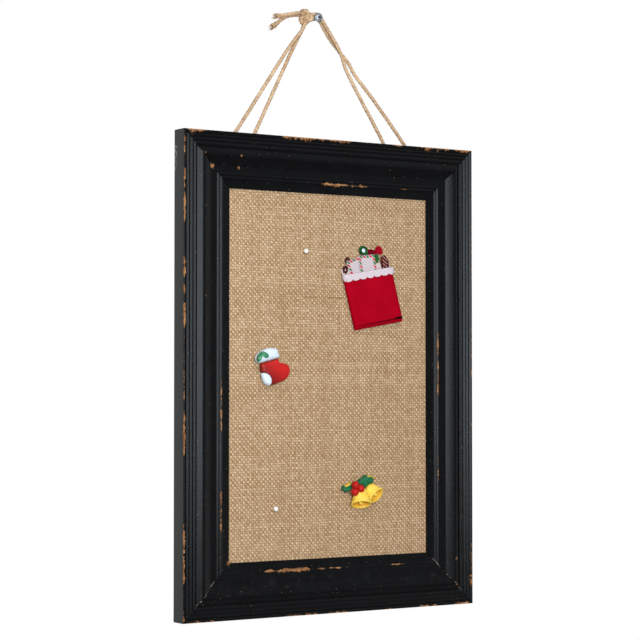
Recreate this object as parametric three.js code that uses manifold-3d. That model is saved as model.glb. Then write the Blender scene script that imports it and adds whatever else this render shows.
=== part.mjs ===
// A burlap pin board in a moulded and mitred picture frame, hung by doubled twine from a wall screw,
// with five pins in it. Millimetres, +Z up. The origin is where the screw's axis meets the wall,
// the wall is the plane y = 0 and the board faces -Y.
import * as THREE from 'three';
import { mergeVertices } from 'three/addons/utils/BufferGeometryUtils.js';
import Module from 'manifold-3d';

// Clearances
const SEAT_GAP = 0.3; // between pieces that rest on each other
const PANEL_CLEARANCE = 0.5; // between the panel's edge and the rabbet wall
const MITRE_GAP = 0.3; // across each mitre

// Frame moulding, measured inward from the outer edge and backward from the front face
const FRAME_WIDTH = 280;
const FRAME_HEIGHT = 381;
const MOULDING_WIDTH = 44;
const ARRIS_RADIUS = 0.8;
const LAND_WIDTH = 1.2;
const REED_COUNT = 3;
const REED_PITCH = 3.1;
const REED_DROP = 0.2; // a reed's ridge lies this far below the front face
const REED_DEPTH = 1.1; // and the bottom of a groove between reeds this far
const QUIRK_WIDTH = 2.1; // slope from the last reed down to the deep groove beside it
const QUIRK_DEPTH = 2.0;
const FILLET_WIDTH = 3.6;
const CREST_WIDTH = 3.4;
const CREST_CROWN = 0.35;
const COVE_DEPTH = 4.4;
const COVE_RUN = 6.9; // from the crest to where its slope would meet the valley
const COVE_STRAIGHT = 0.82; // share of the run before the slope rounds into the valley
const BEAD_COUNT = 2;
const BEAD_PITCH = 2.6;
const BEAD_HEIGHT = 0.75;
const BEAD_STEP = 0.9; // between the inner bead and the lip
const LIP_WIDTH = 6.0;
const LIP_RECESS = 4.6;
const SIGHT_RECESS = 5.6;
const LIP_THICKNESS = 1.2;
const RABBET_WIDTH = 8;

// Panel: burlap wrapped round a soft board
const BURLAP_THICKNESS = 0.9;
const CORE_THICKNESS = 3.6;
const BURLAP_FOLD = 22; // width of the burlap turned over on the back

// Framer's points that hold the panel in the rabbet
const POINT_THICKNESS = 0.5;
const POINT_WIDTH = 8;
const POINT_IN_WOOD = 6;
const POINT_OVER_PANEL = 6.5;
const POINT_COVER = 1.4; // wood left behind a point's slot
const POINTS_PER_SIDE = 2;

// V-nails across the mitres
const VNAIL_LEG = 6;
const VNAIL_THICKNESS = 0.6;
const VNAIL_HEIGHT = 7;
const VNAIL_INSET = 16; // from both outer edges

// Hanging: wall screw, twine and staples
const WALL_GAP = 16.8; // between the frame's back and the wall, at the screw
const SCREW_ABOVE_FRAME = 102.7;
const FRAME_RIGHT_OF_SCREW = 0.4;
const SCREW_SHANK_DIAMETER = 4;
const SCREW_HEAD_DIAMETER = 7.6;
const SCREW_HEAD_HEIGHT = 2.4;
const SCREW_STANDOFF = 8.8; // from the wall to the underside of the head
const SCREW_IN_WALL = 16;
const SCREW_POINT = 7;
const SCREW_SLOT_LENGTH = 3.8;
const SCREW_SLOT_WIDTH = 0.9;
const SCREW_SLOT_DEPTH = 1.3;
const TWINE_DIAMETER = 3.5;
const TWINE_SIDES = 8;
const TWINE_STEPS_PER_SPAN = 2; // between two points of a route
const KNOT_CENTRE = new THREE.Vector3(-10.7, -6, -0.3);
const KNOT_RADII = new THREE.Vector3(6, 5, 5.2);
const STAPLE_WIRE = 0.9;
const STAPLE_LEG_IN_WOOD = 7;
const STAPLE_DROP = 8; // below the frame's top edge

// Pins: places are shares of the half opening, from its centre, so that a pin stays in the opening
const BALL_DIAMETER = 4.1;
const NEEDLE_DIAMETER = 0.8;
const NEEDLE_DEPTH = 4.4; // below the burlap's face
const NEEDLE_IN_HEAD = 2.4;
const TACK_DISC_DIAMETER = 12;
const TACK_DISC_THICKNESS = 0.8;
const UPPER_BALL_PLACE = [-0.256, 0.682];
const LOWER_BALL_PLACE = [-0.555, -0.721];
const STOCKING_PLACE = [-0.586, 0.046];
const BELLS_PLACE = [0.315, -0.644];
const POUCH_PLACE = [0.4254, 0.432];

// Stocking pin
const STOCKING_THICKNESS = 5;
const STOCKING_EDGE = 1.3; // rounding of its front and back edges
const CUFF_THICKNESS = 5.8;
const CUFF_EDGE = 1.1;
const HEEL_CENTRE = [-10.4, -12];
const HEEL_RADIUS = 7.2;
const HEEL_PROUD = 0.4; // the patch stands this much in front of the foot
const CUFF_LEAF_THICKNESS = 0.9;

// Bells pin
const BELL_HEIGHT = 13;
const BELL_MOUTH_RADIUS = 8.2;
const BELL_BODY_RADIUS = 6.5;
const BELL_CROWN_RADIUS = 5.6;
const BELL_LIP = 1;
const BELL_RIM = 1.5; // height of the ring round the mouth
const BELL_RIM_STEP = 0.6;
const BELL_CAVITY_DEPTH = 5;
const BELL_FLATTENING = 0.7; // depth of a bell as a share of its width
const BELL_FLAT = 1.3; // cut off the back so that a bell lies flat on its tack
const BELL_CLEARANCE = 0.45; // before the flattening
const CLAPPER_RADIUS = 1.9;
const CLAPPER_STEM_RADIUS = 0.7;
const CLAPPER_CLEARANCE = 0.8; // between the stem and the top of the cavity
const CLAPPER_STEPS = 6;
const BERRY_RADIUS = 2.65;
const BERRY_DEPTH = 6.5; // from the flat back to a berry's middle

// Pouch pin
const POUCH_WIDTH = 48.4;
const POUCH_HEIGHT = 46;
const POUCH_BACK_RISE = 5; // the back wall stands this much above the front one
const POUCH_WALL = 0.9;
const POUCH_SPACE = 2.2; // between the front and back walls
const POUCH_TILT = 0.171; // turned anticlockwise, radians
const POUCH_LEAN = 0.093; // the soft pouch sags out of square, sideways for each mm of height
const POUCH_CORNER = 1.5;
const HEM_HEIGHT = 3; // the bottom seam, set back from the front
const HEM_STEP = 0.6;
const TRIM_HEIGHT = 4.6;
const TRIM_THICKNESS = 0.8;
const SCALLOP_COUNT = 7;
const SCALLOP_DROP = 1.5;
const LETTER_THICKNESS = 0.5;
const LEFT_LETTER_WIDTH = 14;
const RIGHT_LETTER_WIDTH = 16;
const TOKEN_THICKNESS = 0.8; // of the small tokens among the letters
const TOKEN_EDGE = 0.25;
const WREATH_RADIUS = 4.2;
const WREATH_HOLE_RADIUS = 1.7;
const BOW_HALF_WIDTH = 6;
const BOW_HALF_HEIGHT = 3.2;
const SPRIG_HALF_SIZE = [2.8, 3];
const BISCUIT_HALF_SIZE = [4, 7];
const POUCH_CONTENTS_DEPTH = 9; // how far the letters reach down behind the trim
const LETTER_RISE = 12.7; // and how far they stand above it

// Sizes that follow from the ones above
const panelFace = SIGHT_RECESS + LIP_THICKNESS + SEAT_GAP;
const coreFace = panelFace + BURLAP_THICKNESS + SEAT_GAP;
const panelBack = coreFace + CORE_THICKNESS + SEAT_GAP + BURLAP_THICKNESS;
const pointFace = panelBack + SEAT_GAP;
const frameDepth = pointFace + POINT_THICKNESS + POINT_COVER;
const openingHalfWidth = FRAME_WIDTH / 2 - MOULDING_WIDTH;
const openingHalfHeight = FRAME_HEIGHT / 2 - MOULDING_WIDTH;
const rabbetEdge = MOULDING_WIDTH - RABBET_WIDTH;
const panelWidth = FRAME_WIDTH - 2 * (rabbetEdge + PANEL_CLEARANCE);
const panelHeight = FRAME_HEIGHT - 2 * (rabbetEdge + PANEL_CLEARANCE);
const wrap = BURLAP_THICKNESS + SEAT_GAP;
const ornamentBack = SEAT_GAP + TACK_DISC_THICKNESS + SEAT_GAP;
const strandDepth = -WALL_GAP + SEAT_GAP + TWINE_DIAMETER / 2;
const boardOrigin = new THREE.Vector3(
  FRAME_RIGHT_OF_SCREW,
  -WALL_GAP - frameDepth,
  -SCREW_ABOVE_FRAME - FRAME_HEIGHT / 2,
);

const wasm = await Module();
wasm.setup();

function finish(color, roughness, metalness = 0) {
  return new THREE.MeshStandardMaterial({ color, roughness, metalness });
}

const paintedWood = finish(0x1c1b1d, 0.45);
const burlap = finish(0xc4a67e, 0.95);
const fibreboard = finish(0x9a7b54, 0.9);
const steel = finish(0xb4b6b8, 0.35, 1);
const jute = finish(0xcdaa78, 0.9);
const whiteEnamel = finish(0xf2f1ec, 0.25);
const redClay = finish(0xc82424, 0.35);
const whiteClay = finish(0xe6eef4, 0.45);
const greenClay = finish(0x2c8a52, 0.4);
const yellowClay = finish(0xf0c83c, 0.4);
const redFelt = finish(0xb40a22, 0.85);
const whiteFelt = finish(0xeee6ea, 0.85);
const paper = finish(0xf4f1f2, 0.7);
const brownClay = finish(0x4a2018, 0.6);

function mesh(name, geometry, material) {
  const piece = new THREE.Mesh(geometry, material);
  piece.name = name;
  return piece;
}

// A closed geometry as a solid that can be joined and cut
function solid(geometry) {
  const bare = new THREE.BufferGeometry();
  bare.setAttribute('position', geometry.getAttribute('position').clone());
  bare.setIndex(geometry.getIndex());
  const merged = mergeVertices(bare, 1e-4);
  const corners = merged.getIndex().array;
  const triangles = [];
  for (let i = 0; i < corners.length; i += 3) {
    const [a, b, c] = [corners[i], corners[i + 1], corners[i + 2]];
    if (a !== b && b !== c && c !== a) triangles.push(a, b, c);
  }
  return new wasm.Manifold(new wasm.Mesh({
    numProp: 3,
    vertProperties: new Float32Array(merged.getAttribute('position').array),
    triVerts: new Uint32Array(triangles),
  }));
}

function geometryOf(body) {
  const result = body.getMesh();
  const geometry = new THREE.BufferGeometry();
  geometry.setAttribute('position', new THREE.BufferAttribute(result.vertProperties, 3));
  geometry.setIndex(new THREE.BufferAttribute(result.triVerts, 1));
  geometry.computeVertexNormals();
  return geometry;
}

function cut(geometry, cutters) {
  let body = solid(geometry);
  for (const cutter of cutters) body = body.subtract(solid(cutter));
  return geometryOf(body);
}

// A flat piece: its outline lies in X and Z, its back at y = 0 and its front towards -Y
function relief(shape, thickness, edge = 0, edgeSteps = 3) {
  const geometry = new THREE.ExtrudeGeometry(shape, {
    depth: thickness - 2 * edge,
    curveSegments: 7,
    bevelEnabled: edge > 0,
    bevelThickness: edge,
    bevelSize: edge,
    bevelOffset: -edge,
    bevelSegments: edgeSteps,
  });
  return geometry.translate(0, 0, edge).rotateX(Math.PI / 2);
}

// A revolved piece about the Y axis; the profile runs towards +Y and its radii come first
function turned(profile, sides) {
  return new THREE.LatheGeometry(profile.map(([radius, y]) => new THREE.Vector2(radius, y)), sides);
}

function box(width, depth, height, x, y, z) {
  return new THREE.BoxGeometry(width, depth, height).translate(x, y, z);
}

function rectangle(width, height) {
  const shape = new THREE.Shape();
  shape.moveTo(-width / 2, -height / 2);
  shape.lineTo(width / 2, -height / 2);
  shape.lineTo(width / 2, height / 2);
  shape.lineTo(-width / 2, height / 2);
  shape.closePath();
  return shape;
}

function roundedRectangle(width, height, radius) {
  const [right, top] = [width / 2, height / 2];
  const shape = new THREE.Shape();
  shape.moveTo(-right + radius, -top);
  shape.lineTo(right - radius, -top);
  shape.quadraticCurveTo(right, -top, right, -top + radius);
  shape.lineTo(right, top - radius);
  shape.quadraticCurveTo(right, top, right - radius, top);
  shape.lineTo(-right + radius, top);
  shape.quadraticCurveTo(-right, top, -right, top - radius);
  shape.lineTo(-right, -top + radius);
  shape.quadraticCurveTo(-right, -top, -right + radius, -top);
  return shape;
}

function ellipse(halfWidth, halfHeight) {
  const shape = new THREE.Shape();
  shape.absellipse(0, 0, halfWidth, halfHeight, 0, 2 * Math.PI);
  return shape;
}

// Frame

// Section of the moulding: x runs inward from the outer edge, y backward from the front face
function mouldingSection() {
  const reedsEnd = LAND_WIDTH + REED_COUNT * REED_PITCH;
  const crestStart = reedsEnd + QUIRK_WIDTH + FILLET_WIDTH;
  const crestEnd = crestStart + CREST_WIDTH;
  const beadEnd = MOULDING_WIDTH - LIP_WIDTH;
  const beadStart = beadEnd - BEAD_STEP - BEAD_COUNT * BEAD_PITCH;
  const lipBack = SIGHT_RECESS + LIP_THICKNESS;

  const section = new THREE.Shape();
  section.moveTo(0, frameDepth);
  section.lineTo(0, ARRIS_RADIUS);
  section.quadraticCurveTo(0, 0, ARRIS_RADIUS, 0);
  section.lineTo(LAND_WIDTH, 0);
  for (let i = 1; i <= REED_COUNT; i += 1) {
    const ridge = LAND_WIDTH + i * REED_PITCH;
    section.lineTo(ridge - REED_PITCH / 2, REED_DEPTH);
    section.lineTo(ridge, REED_DROP);
  }
  section.lineTo(reedsEnd + QUIRK_WIDTH, QUIRK_DEPTH);
  section.lineTo(crestStart, CREST_CROWN);
  section.quadraticCurveTo((crestStart + crestEnd) / 2, -CREST_CROWN, crestEnd, CREST_CROWN);
  const slopeDepth = CREST_CROWN + (COVE_DEPTH - CREST_CROWN) * COVE_STRAIGHT;
  section.lineTo(crestEnd + COVE_RUN * COVE_STRAIGHT, slopeDepth);
  section.quadraticCurveTo(crestEnd + COVE_RUN, COVE_DEPTH, beadStart, COVE_DEPTH);
  for (let i = 1; i <= BEAD_COUNT; i += 1) {
    const groove = beadStart + i * BEAD_PITCH;
    section.lineTo(groove - BEAD_PITCH / 2, COVE_DEPTH - BEAD_HEIGHT);
    section.lineTo(groove, COVE_DEPTH);
  }
  section.lineTo(beadEnd, LIP_RECESS);
  section.lineTo(MOULDING_WIDTH, SIGHT_RECESS);
  section.lineTo(MOULDING_WIDTH, lipBack);
  section.lineTo(rabbetEdge, lipBack);
  section.lineTo(rabbetEdge, frameDepth);
  section.closePath();
  return section;
}

// One member lying along X, its outer edge at z = 0 and its front face at y = 0, with mitred ends
function memberBlank(length) {
  const geometry = new THREE.ExtrudeGeometry(mouldingSection(), {
    depth: length,
    bevelEnabled: false,
    curveSegments: 10,
  });
  const points = geometry.getAttribute('position');
  for (let i = 0; i < points.count; i += 1) {
    const [inward, back] = [points.getX(i), points.getY(i)];
    const setback = inward + MITRE_GAP * Math.SQRT1_2;
    const along = points.getZ(i) > length / 2 ? length / 2 - setback : setback - length / 2;
    points.setXYZ(i, along, back, -inward);
  }
  return geometry;
}

// A V-nail for the top left corner: its bend lies on the mitre and a leg runs into each member
function vNail(clearance) {
  const half = VNAIL_THICKNESS / 2 + clearance;
  const reach = VNAIL_LEG + clearance;
  const shape = new THREE.Shape();
  shape.moveTo(-half, half);
  shape.lineTo(-half, -reach);
  shape.lineTo(half, -reach);
  shape.lineTo(half, -half);
  shape.lineTo(reach, -half);
  shape.lineTo(reach, half);
  shape.closePath();
  return relief(shape, VNAIL_HEIGHT + clearance);
}

// A framer's point for a member lying along X: the driven end is pointed, the other lies on the panel
function framersPoint(clearance) {
  const half = POINT_WIDTH / 2 + clearance;
  const tip = -rabbetEdge + POINT_IN_WOOD + clearance;
  const shape = new THREE.Shape();
  shape.moveTo(-half, -rabbetEdge - POINT_OVER_PANEL);
  shape.lineTo(half, -rabbetEdge - POINT_OVER_PANEL);
  shape.lineTo(half, -rabbetEdge + POINT_IN_WOOD / 3);
  shape.lineTo(0, tip);
  shape.lineTo(-half, -rabbetEdge + POINT_IN_WOOD / 3);
  shape.closePath();
  const thickness = POINT_THICKNESS + 2 * clearance;
  return relief(shape, thickness).translate(0, thickness - clearance, 0);
}

function pointPlaces(length) {
  const places = [];
  for (let i = 0; i < POINTS_PER_SIDE; i += 1) {
    places.push(length * ((i + 0.5) / POINTS_PER_SIDE - 0.5));
  }
  return places;
}

// The four straight runs of twine, from below the screw to just above the top rail
const RUNS = {
  left_outer: { start: [-28.6, -9.6, -29.0], end: [-82.5, strandDepth, -99.6] },
  left_inner: { start: [-26.2, -6.2, -29.2], end: [-64.8, strandDepth, -99.6] },
  right_inner: { start: [28.7, -6.6, -39.8], end: [60.6, strandDepth, -99.6] },
  right_outer: { start: [32.1, -3.0, -37.9], end: [82.2, strandDepth, -99.9] },
};

// Where a run, carried on downward, is stapled to the back of the top rail
function stapleSeat({ start, end }) {
  const [across, down] = [end[0] - start[0], end[2] - start[2]];
  const height = -SCREW_ABOVE_FRAME - STAPLE_DROP;
  return {
    x: start[0] + (across / down) * (height - start[2]),
    z: height,
    turn: Math.atan2(across, down),
  };
}

// A wire staple across a strand that runs along Z: crown behind the strand, legs towards -Y
function staple(clearance) {
  const inner = TWINE_DIAMETER / 2 + SEAT_GAP - clearance;
  const outer = TWINE_DIAMETER / 2 + SEAT_GAP + STAPLE_WIRE + clearance;
  const crown = TWINE_DIAMETER / 2 + SEAT_GAP;
  const tip = -WALL_GAP - STAPLE_LEG_IN_WOOD - strandDepth - clearance;
  const shape = new THREE.Shape();
  shape.moveTo(-outer, crown + STAPLE_WIRE);
  shape.lineTo(-outer, tip);
  shape.lineTo(-inner, tip);
  shape.lineTo(-inner, crown);
  shape.lineTo(inner, crown);
  shape.lineTo(inner, tip);
  shape.lineTo(outer, tip);
  shape.lineTo(outer, crown + STAPLE_WIRE);
  shape.closePath();
  const thickness = STAPLE_WIRE + 2 * clearance;
  const geometry = new THREE.ExtrudeGeometry(shape, { depth: thickness, bevelEnabled: false });
  return geometry.translate(0, 0, -thickness / 2);
}

function buildFrame() {
  const group = new THREE.Group();
  const members = [
    { name: 'top_rail', length: FRAME_WIDTH, turn: 0, at: [0, FRAME_HEIGHT / 2] },
    { name: 'right_stile', length: FRAME_HEIGHT, turn: Math.PI / 2, at: [FRAME_WIDTH / 2, 0] },
    { name: 'bottom_rail', length: FRAME_WIDTH, turn: Math.PI, at: [0, -FRAME_HEIGHT / 2] },
    { name: 'left_stile', length: FRAME_HEIGHT, turn: -Math.PI / 2, at: [-FRAME_WIDTH / 2, 0] },
  ];
  const corners = ['top_left', 'top_right', 'bottom_right', 'bottom_left'];
  members.forEach(({ name, length, turn, at }, side) => {
    const member = new THREE.Group();
    member.position.set(at[0], 0, at[1]);
    member.rotation.y = turn;
    const nailAt = new THREE.Vector3(-length / 2 + VNAIL_INSET, frameDepth - SEAT_GAP, -VNAIL_INSET);
    const slots = [
      vNail(SEAT_GAP).translate(nailAt.x, frameDepth, nailAt.z),
      vNail(SEAT_GAP).rotateY(Math.PI / 2).translate(-nailAt.x, frameDepth, nailAt.z),
    ];
    for (const x of pointPlaces(length)) {
      slots.push(framersPoint(SEAT_GAP).translate(x, pointFace, 0));
    }
    if (name === 'top_rail') {
      for (const run of Object.values(RUNS)) {
        const seat = stapleSeat(run);
        slots.push(staple(SEAT_GAP).rotateY(seat.turn).translate(
          seat.x - boardOrigin.x,
          strandDepth - boardOrigin.y,
          seat.z + SCREW_ABOVE_FRAME,
        ));
      }
    }
    member.add(mesh(name, cut(memberBlank(length), slots), paintedWood));
    const nail = mesh(`v_nail_${corners[side]}`, vNail(0), steel);
    nail.position.copy(nailAt);
    member.add(nail);
    pointPlaces(length).forEach((x, i) => {
      const point = mesh(`framers_point_${name}_${i + 1}`, framersPoint(0), steel);
      point.position.set(x, pointFace, 0);
      member.add(point);
    });
    group.add(member);
  });
  return group;
}

// Panel

function pinPlace([across, up]) {
  return [across * openingHalfWidth, up * openingHalfHeight];
}

function buildPanel() {
  const group = new THREE.Group();
  const places = [UPPER_BALL_PLACE, LOWER_BALL_PLACE, STOCKING_PLACE, BELLS_PLACE, POUCH_PLACE];
  const holes = places.map((place) => {
    const [x, z] = pinPlace(place);
    const radius = NEEDLE_DIAMETER / 2 + SEAT_GAP;
    const length = 2 * (coreFace + CORE_THICKNESS - panelFace) + SEAT_GAP;
    return new THREE.CylinderGeometry(radius, radius, length, 8).translate(x, panelFace, z);
  });
  const depth = panelBack - panelFace;
  const middle = (panelFace + panelBack) / 2;
  const block = box(panelWidth, depth, panelHeight, 0, middle, 0);
  const inside = box(
    panelWidth - 2 * BURLAP_THICKNESS, depth - 2 * BURLAP_THICKNESS, panelHeight - 2 * BURLAP_THICKNESS,
    0, middle, 0,
  );
  const back = box(panelWidth - 2 * BURLAP_FOLD, depth, panelHeight - 2 * BURLAP_FOLD, 0, panelBack, 0);
  group.add(mesh('burlap_cover', cut(block, [inside, back, ...holes]), burlap));
  const core = box(
    panelWidth - 2 * wrap, CORE_THICKNESS, panelHeight - 2 * wrap,
    0, coreFace + CORE_THICKNESS / 2, 0,
  );
  group.add(mesh('core_board', cut(core, holes), fibreboard));
  return group;
}

// Pins: each is built about its needle, with the burlap's face at y = 0

function needleProfile(top, depth) {
  const radius = NEEDLE_DIAMETER / 2;
  return [[0, top], [radius, top], [radius, depth - 3 * radius], [0, depth]];
}

function ballPin(name) {
  const group = new THREE.Group();
  const centre = -SEAT_GAP - BALL_DIAMETER / 2;
  const needleTop = NEEDLE_IN_HEAD - SEAT_GAP - BALL_DIAMETER;
  const ball = new THREE.SphereGeometry(BALL_DIAMETER / 2, 16, 12).translate(0, centre, 0);
  const boreRadius = NEEDLE_DIAMETER / 2 + SEAT_GAP;
  const boreDepth = -needleTop + SEAT_GAP;
  const bore = new THREE.CylinderGeometry(boreRadius, boreRadius, boreDepth, 12);
  bore.translate(0, -boreDepth / 2, 0);
  group.add(mesh(`${name}_head`, cut(ball, [bore]), whiteEnamel));
  group.add(mesh(`${name}_needle`, turned(needleProfile(needleTop, NEEDLE_DEPTH), 10), steel));
  return group;
}

// The flat tack glued behind a moulded pin
function tack(name) {
  const discTop = -SEAT_GAP - TACK_DISC_THICKNESS;
  const needle = needleProfile(-SEAT_GAP, NEEDLE_DEPTH).slice(1);
  const rim = TACK_DISC_DIAMETER / 2;
  const profile = [[0, discTop], [rim, discTop], [rim, -SEAT_GAP], ...needle];
  return mesh(name, turned(profile, 20), steel);
}

function stockingOutline() {
  const shape = new THREE.Shape();
  shape.moveTo(-12.2, 2.4);
  shape.lineTo(-11.4, -4);
  shape.bezierCurveTo(-11.2, -10.2, -8.6, -14.8, -3.9, -14.8);
  shape.quadraticCurveTo(2, -14, 7, -11.9);
  shape.bezierCurveTo(16.5, -9.5, 19.5, 2.9, 8.4, 3.2);
  shape.quadraticCurveTo(5.2, 3.2, 4.9, 4.4);
  shape.lineTo(4.7, 6.5);
  shape.closePath();
  return shape;
}

function cuffOutline() {
  const shape = new THREE.Shape();
  shape.moveTo(-13.8, 2.75);
  shape.lineTo(4.2, 7.15);
  shape.quadraticCurveTo(6, 8.9, 4.4, 10.6);
  shape.quadraticCurveTo(3.4, 11.8, 3.5, 13.2);
  shape.quadraticCurveTo(2.6, 14.9, -0.4, 15.1);
  shape.bezierCurveTo(-5, 15.3, -9.5, 14, -13, 11.8);
  shape.bezierCurveTo(-17.4, 9, -18.4, 3.9, -13.8, 2.75);
  return shape;
}

function stockingPin() {
  const group = new THREE.Group();
  const foot = relief(stockingOutline(), STOCKING_THICKNESS, STOCKING_EDGE);
  const heelDisc = (radius) => new THREE.CylinderGeometry(radius, radius, 4 * STOCKING_THICKNESS, 28)
    .translate(HEEL_CENTRE[0], 0, HEEL_CENTRE[1]);
  const proudFoot = relief(stockingOutline(), STOCKING_THICKNESS + HEEL_PROUD, STOCKING_EDGE);
  const heel = solid(proudFoot).intersect(solid(heelDisc(HEEL_RADIUS)));
  const moulded = new THREE.Group();
  moulded.position.y = -ornamentBack;
  moulded.add(mesh('stocking_body', cut(foot, [heelDisc(HEEL_RADIUS + SEAT_GAP)]), redClay));
  moulded.add(mesh('stocking_heel', geometryOf(heel), whiteClay));
  moulded.add(mesh('stocking_cuff', relief(cuffOutline(), CUFF_THICKNESS, CUFF_EDGE), whiteClay));
  const leaves = [
    { name: 'stocking_leaf_left', at: [-13.1, 7.6], half: [1.8, 3.7], turn: 0.3 },
    { name: 'stocking_leaf_right', at: [-7.7, 9.5], half: [3.2, 1.9], turn: 0.55 },
  ];
  for (const { name, at, half, turn } of leaves) {
    const form = relief(ellipse(...half), CUFF_LEAF_THICKNESS, CUFF_LEAF_THICKNESS / 3);
    const leaf = mesh(name, form, greenClay);
    leaf.position.set(at[0], -CUFF_THICKNESS - SEAT_GAP, at[1]);
    leaf.rotation.y = turn;
    moulded.add(leaf);
  }
  group.add(moulded, tack('stocking_tack'));
  return group;
}

// A bell with its mouth at y = 0 and its crown towards +Y; grown by a clearance, it is a solid cutter
function bellBlank(clearance = 0) {
  const inside = [
    [0, BELL_CAVITY_DEPTH],
    [BELL_BODY_RADIUS * 0.55, BELL_CAVITY_DEPTH * 0.9],
    [BELL_BODY_RADIUS * 0.85, BELL_CAVITY_DEPTH * 0.6],
    [BELL_MOUTH_RADIUS - BELL_LIP, 0],
  ];
  const outside = [
    [BELL_MOUTH_RADIUS - BELL_LIP / 4, 0],
    [BELL_MOUTH_RADIUS, BELL_RIM / 2],
    [BELL_MOUTH_RADIUS - BELL_RIM_STEP, BELL_RIM],
    [(BELL_MOUTH_RADIUS + BELL_BODY_RADIUS) / 2 - BELL_RIM_STEP / 2, BELL_HEIGHT * 0.23],
    [BELL_BODY_RADIUS, BELL_HEIGHT * 0.45],
    [BELL_CROWN_RADIUS, BELL_HEIGHT * 0.74],
    [BELL_CROWN_RADIUS * 0.7, BELL_HEIGHT * 0.93],
    [0, BELL_HEIGHT],
  ];
  if (clearance === 0) return turned([...inside, ...outside], 24);
  const grown = outside.slice(0, -1).map(([radius, y]) => [radius + clearance, y]);
  return turned([
    [0, -clearance],
    [BELL_MOUTH_RADIUS, -clearance],
    ...grown,
    [0, BELL_HEIGHT + clearance],
  ], 24);
}

// A ball that hangs from the cavity on a short stem
function clapper() {
  const stemTop = BELL_CAVITY_DEPTH - CLAPPER_CLEARANCE;
  const bottom = -Math.PI / 2;
  const neck = Math.acos(CLAPPER_STEM_RADIUS / CLAPPER_RADIUS);
  const profile = [[0, 0]];
  for (let i = 1; i <= CLAPPER_STEPS; i += 1) {
    const angle = bottom + (i / CLAPPER_STEPS) * (neck - bottom);
    profile.push([CLAPPER_RADIUS * Math.cos(angle), CLAPPER_RADIUS * (1 + Math.sin(angle))]);
  }
  profile.push([CLAPPER_STEM_RADIUS, stemTop], [0, stemTop]);
  return turned(profile, 12);
}

// Turns a bell's crown to the given heading in the board's plane, leans its mouth to the front,
// flattens it and moves it back until its flat lies at y = 0
function bellPose({ mouth, heading, lean, size }) {
  const pose = new THREE.Matrix4().makeScale(size, size, size);
  pose.premultiply(new THREE.Matrix4().makeRotationX(Math.PI / 2 - lean));
  pose.premultiply(new THREE.Matrix4().makeRotationY(heading));
  pose.premultiply(new THREE.Matrix4().makeScale(1, BELL_FLATTENING, 1));
  const turnedBell = bellBlank().applyMatrix4(pose);
  turnedBell.computeBoundingBox();
  const backward = BELL_FLAT - turnedBell.boundingBox.max.y;
  return pose.premultiply(new THREE.Matrix4().makeTranslation(mouth[0], backward, mouth[1]));
}

// A leaf along X; the spikes on each side are places along it, as shares, and distances from its midrib
function hollyLeaf({ length, thickness, below, above }) {
  const shape = new THREE.Shape();
  shape.moveTo(0, 0);
  let last = [0, 0];
  const edge = (along, out) => {
    const next = [along * length, out];
    shape.quadraticCurveTo((last[0] + next[0]) / 2, (last[1] + next[1]) * 0.38, ...next);
    last = next;
  };
  for (const [along, out] of below) edge(along, -out);
  edge(1, 0);
  for (const [along, out] of [...above].reverse()) edge(along, out);
  edge(0, 0);
  return relief(shape, thickness);
}

function bellsPin() {
  const group = new THREE.Group();
  const moulded = new THREE.Group();
  moulded.position.y = -ornamentBack;
  const berries = [[-10.8, 6], [-5.4, 2.9], [-11.2, 0.4]];
  const ball = (radius, [x, z]) => new THREE.SphereGeometry(radius, 14, 10).translate(x, -BERRY_DEPTH, z);
  const sockets = berries.map((place) => ball(BERRY_RADIUS + SEAT_GAP, place));
  const reach = 5 * BELL_HEIGHT;
  const behind = box(reach, reach, reach, 0, reach / 2, 0);
  const taken = [behind, ...sockets]; // each bell is moulded against what is already there
  const bells = [
    { side: 'left', mouth: [-4.3, -10], heading: 0.13, lean: 0.38, size: 1.09 },
    { side: 'right', mouth: [10.8, -3.3], heading: -0.56, lean: 0.76, size: 0.92 },
  ];
  for (const bell of bells) {
    const pose = bellPose(bell);
    moulded.add(mesh(`bell_${bell.side}`, cut(bellBlank().applyMatrix4(pose), taken), yellowClay));
    moulded.add(mesh(`bell_${bell.side}_clapper`, clapper().applyMatrix4(pose), yellowClay));
    taken.push(bellBlank(BELL_CLEARANCE).applyMatrix4(pose));
  }
  const leaves = [
    {
      side: 'left', base: [-9.5, 5.5], turn: 2.847, length: 11.7, thickness: 4,
      below: [[0.15, 4], [0.45, 2.7], [0.79, 3.1]], above: [[0.42, 3], [0.7, 3.6]],
    },
    {
      side: 'right', base: [-5.5, 7.2], turn: -0.265, length: 16.4, thickness: 5,
      below: [[0.34, 5.6], [0.85, 3.9]], above: [[0.12, 2.4], [0.56, 4.4], [0.82, 2.6]],
    },
  ];
  for (const leaf of leaves) {
    const form = hollyLeaf(leaf).rotateY(leaf.turn).translate(leaf.base[0], 0, leaf.base[1]);
    moulded.add(mesh(`holly_leaf_${leaf.side}`, cut(form, taken), greenClay));
  }
  berries.forEach((place, i) => moulded.add(mesh(`berry_${i + 1}`, ball(BERRY_RADIUS, place), redClay)));
  group.add(moulded, tack('bells_tack'));
  return group;
}

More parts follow.
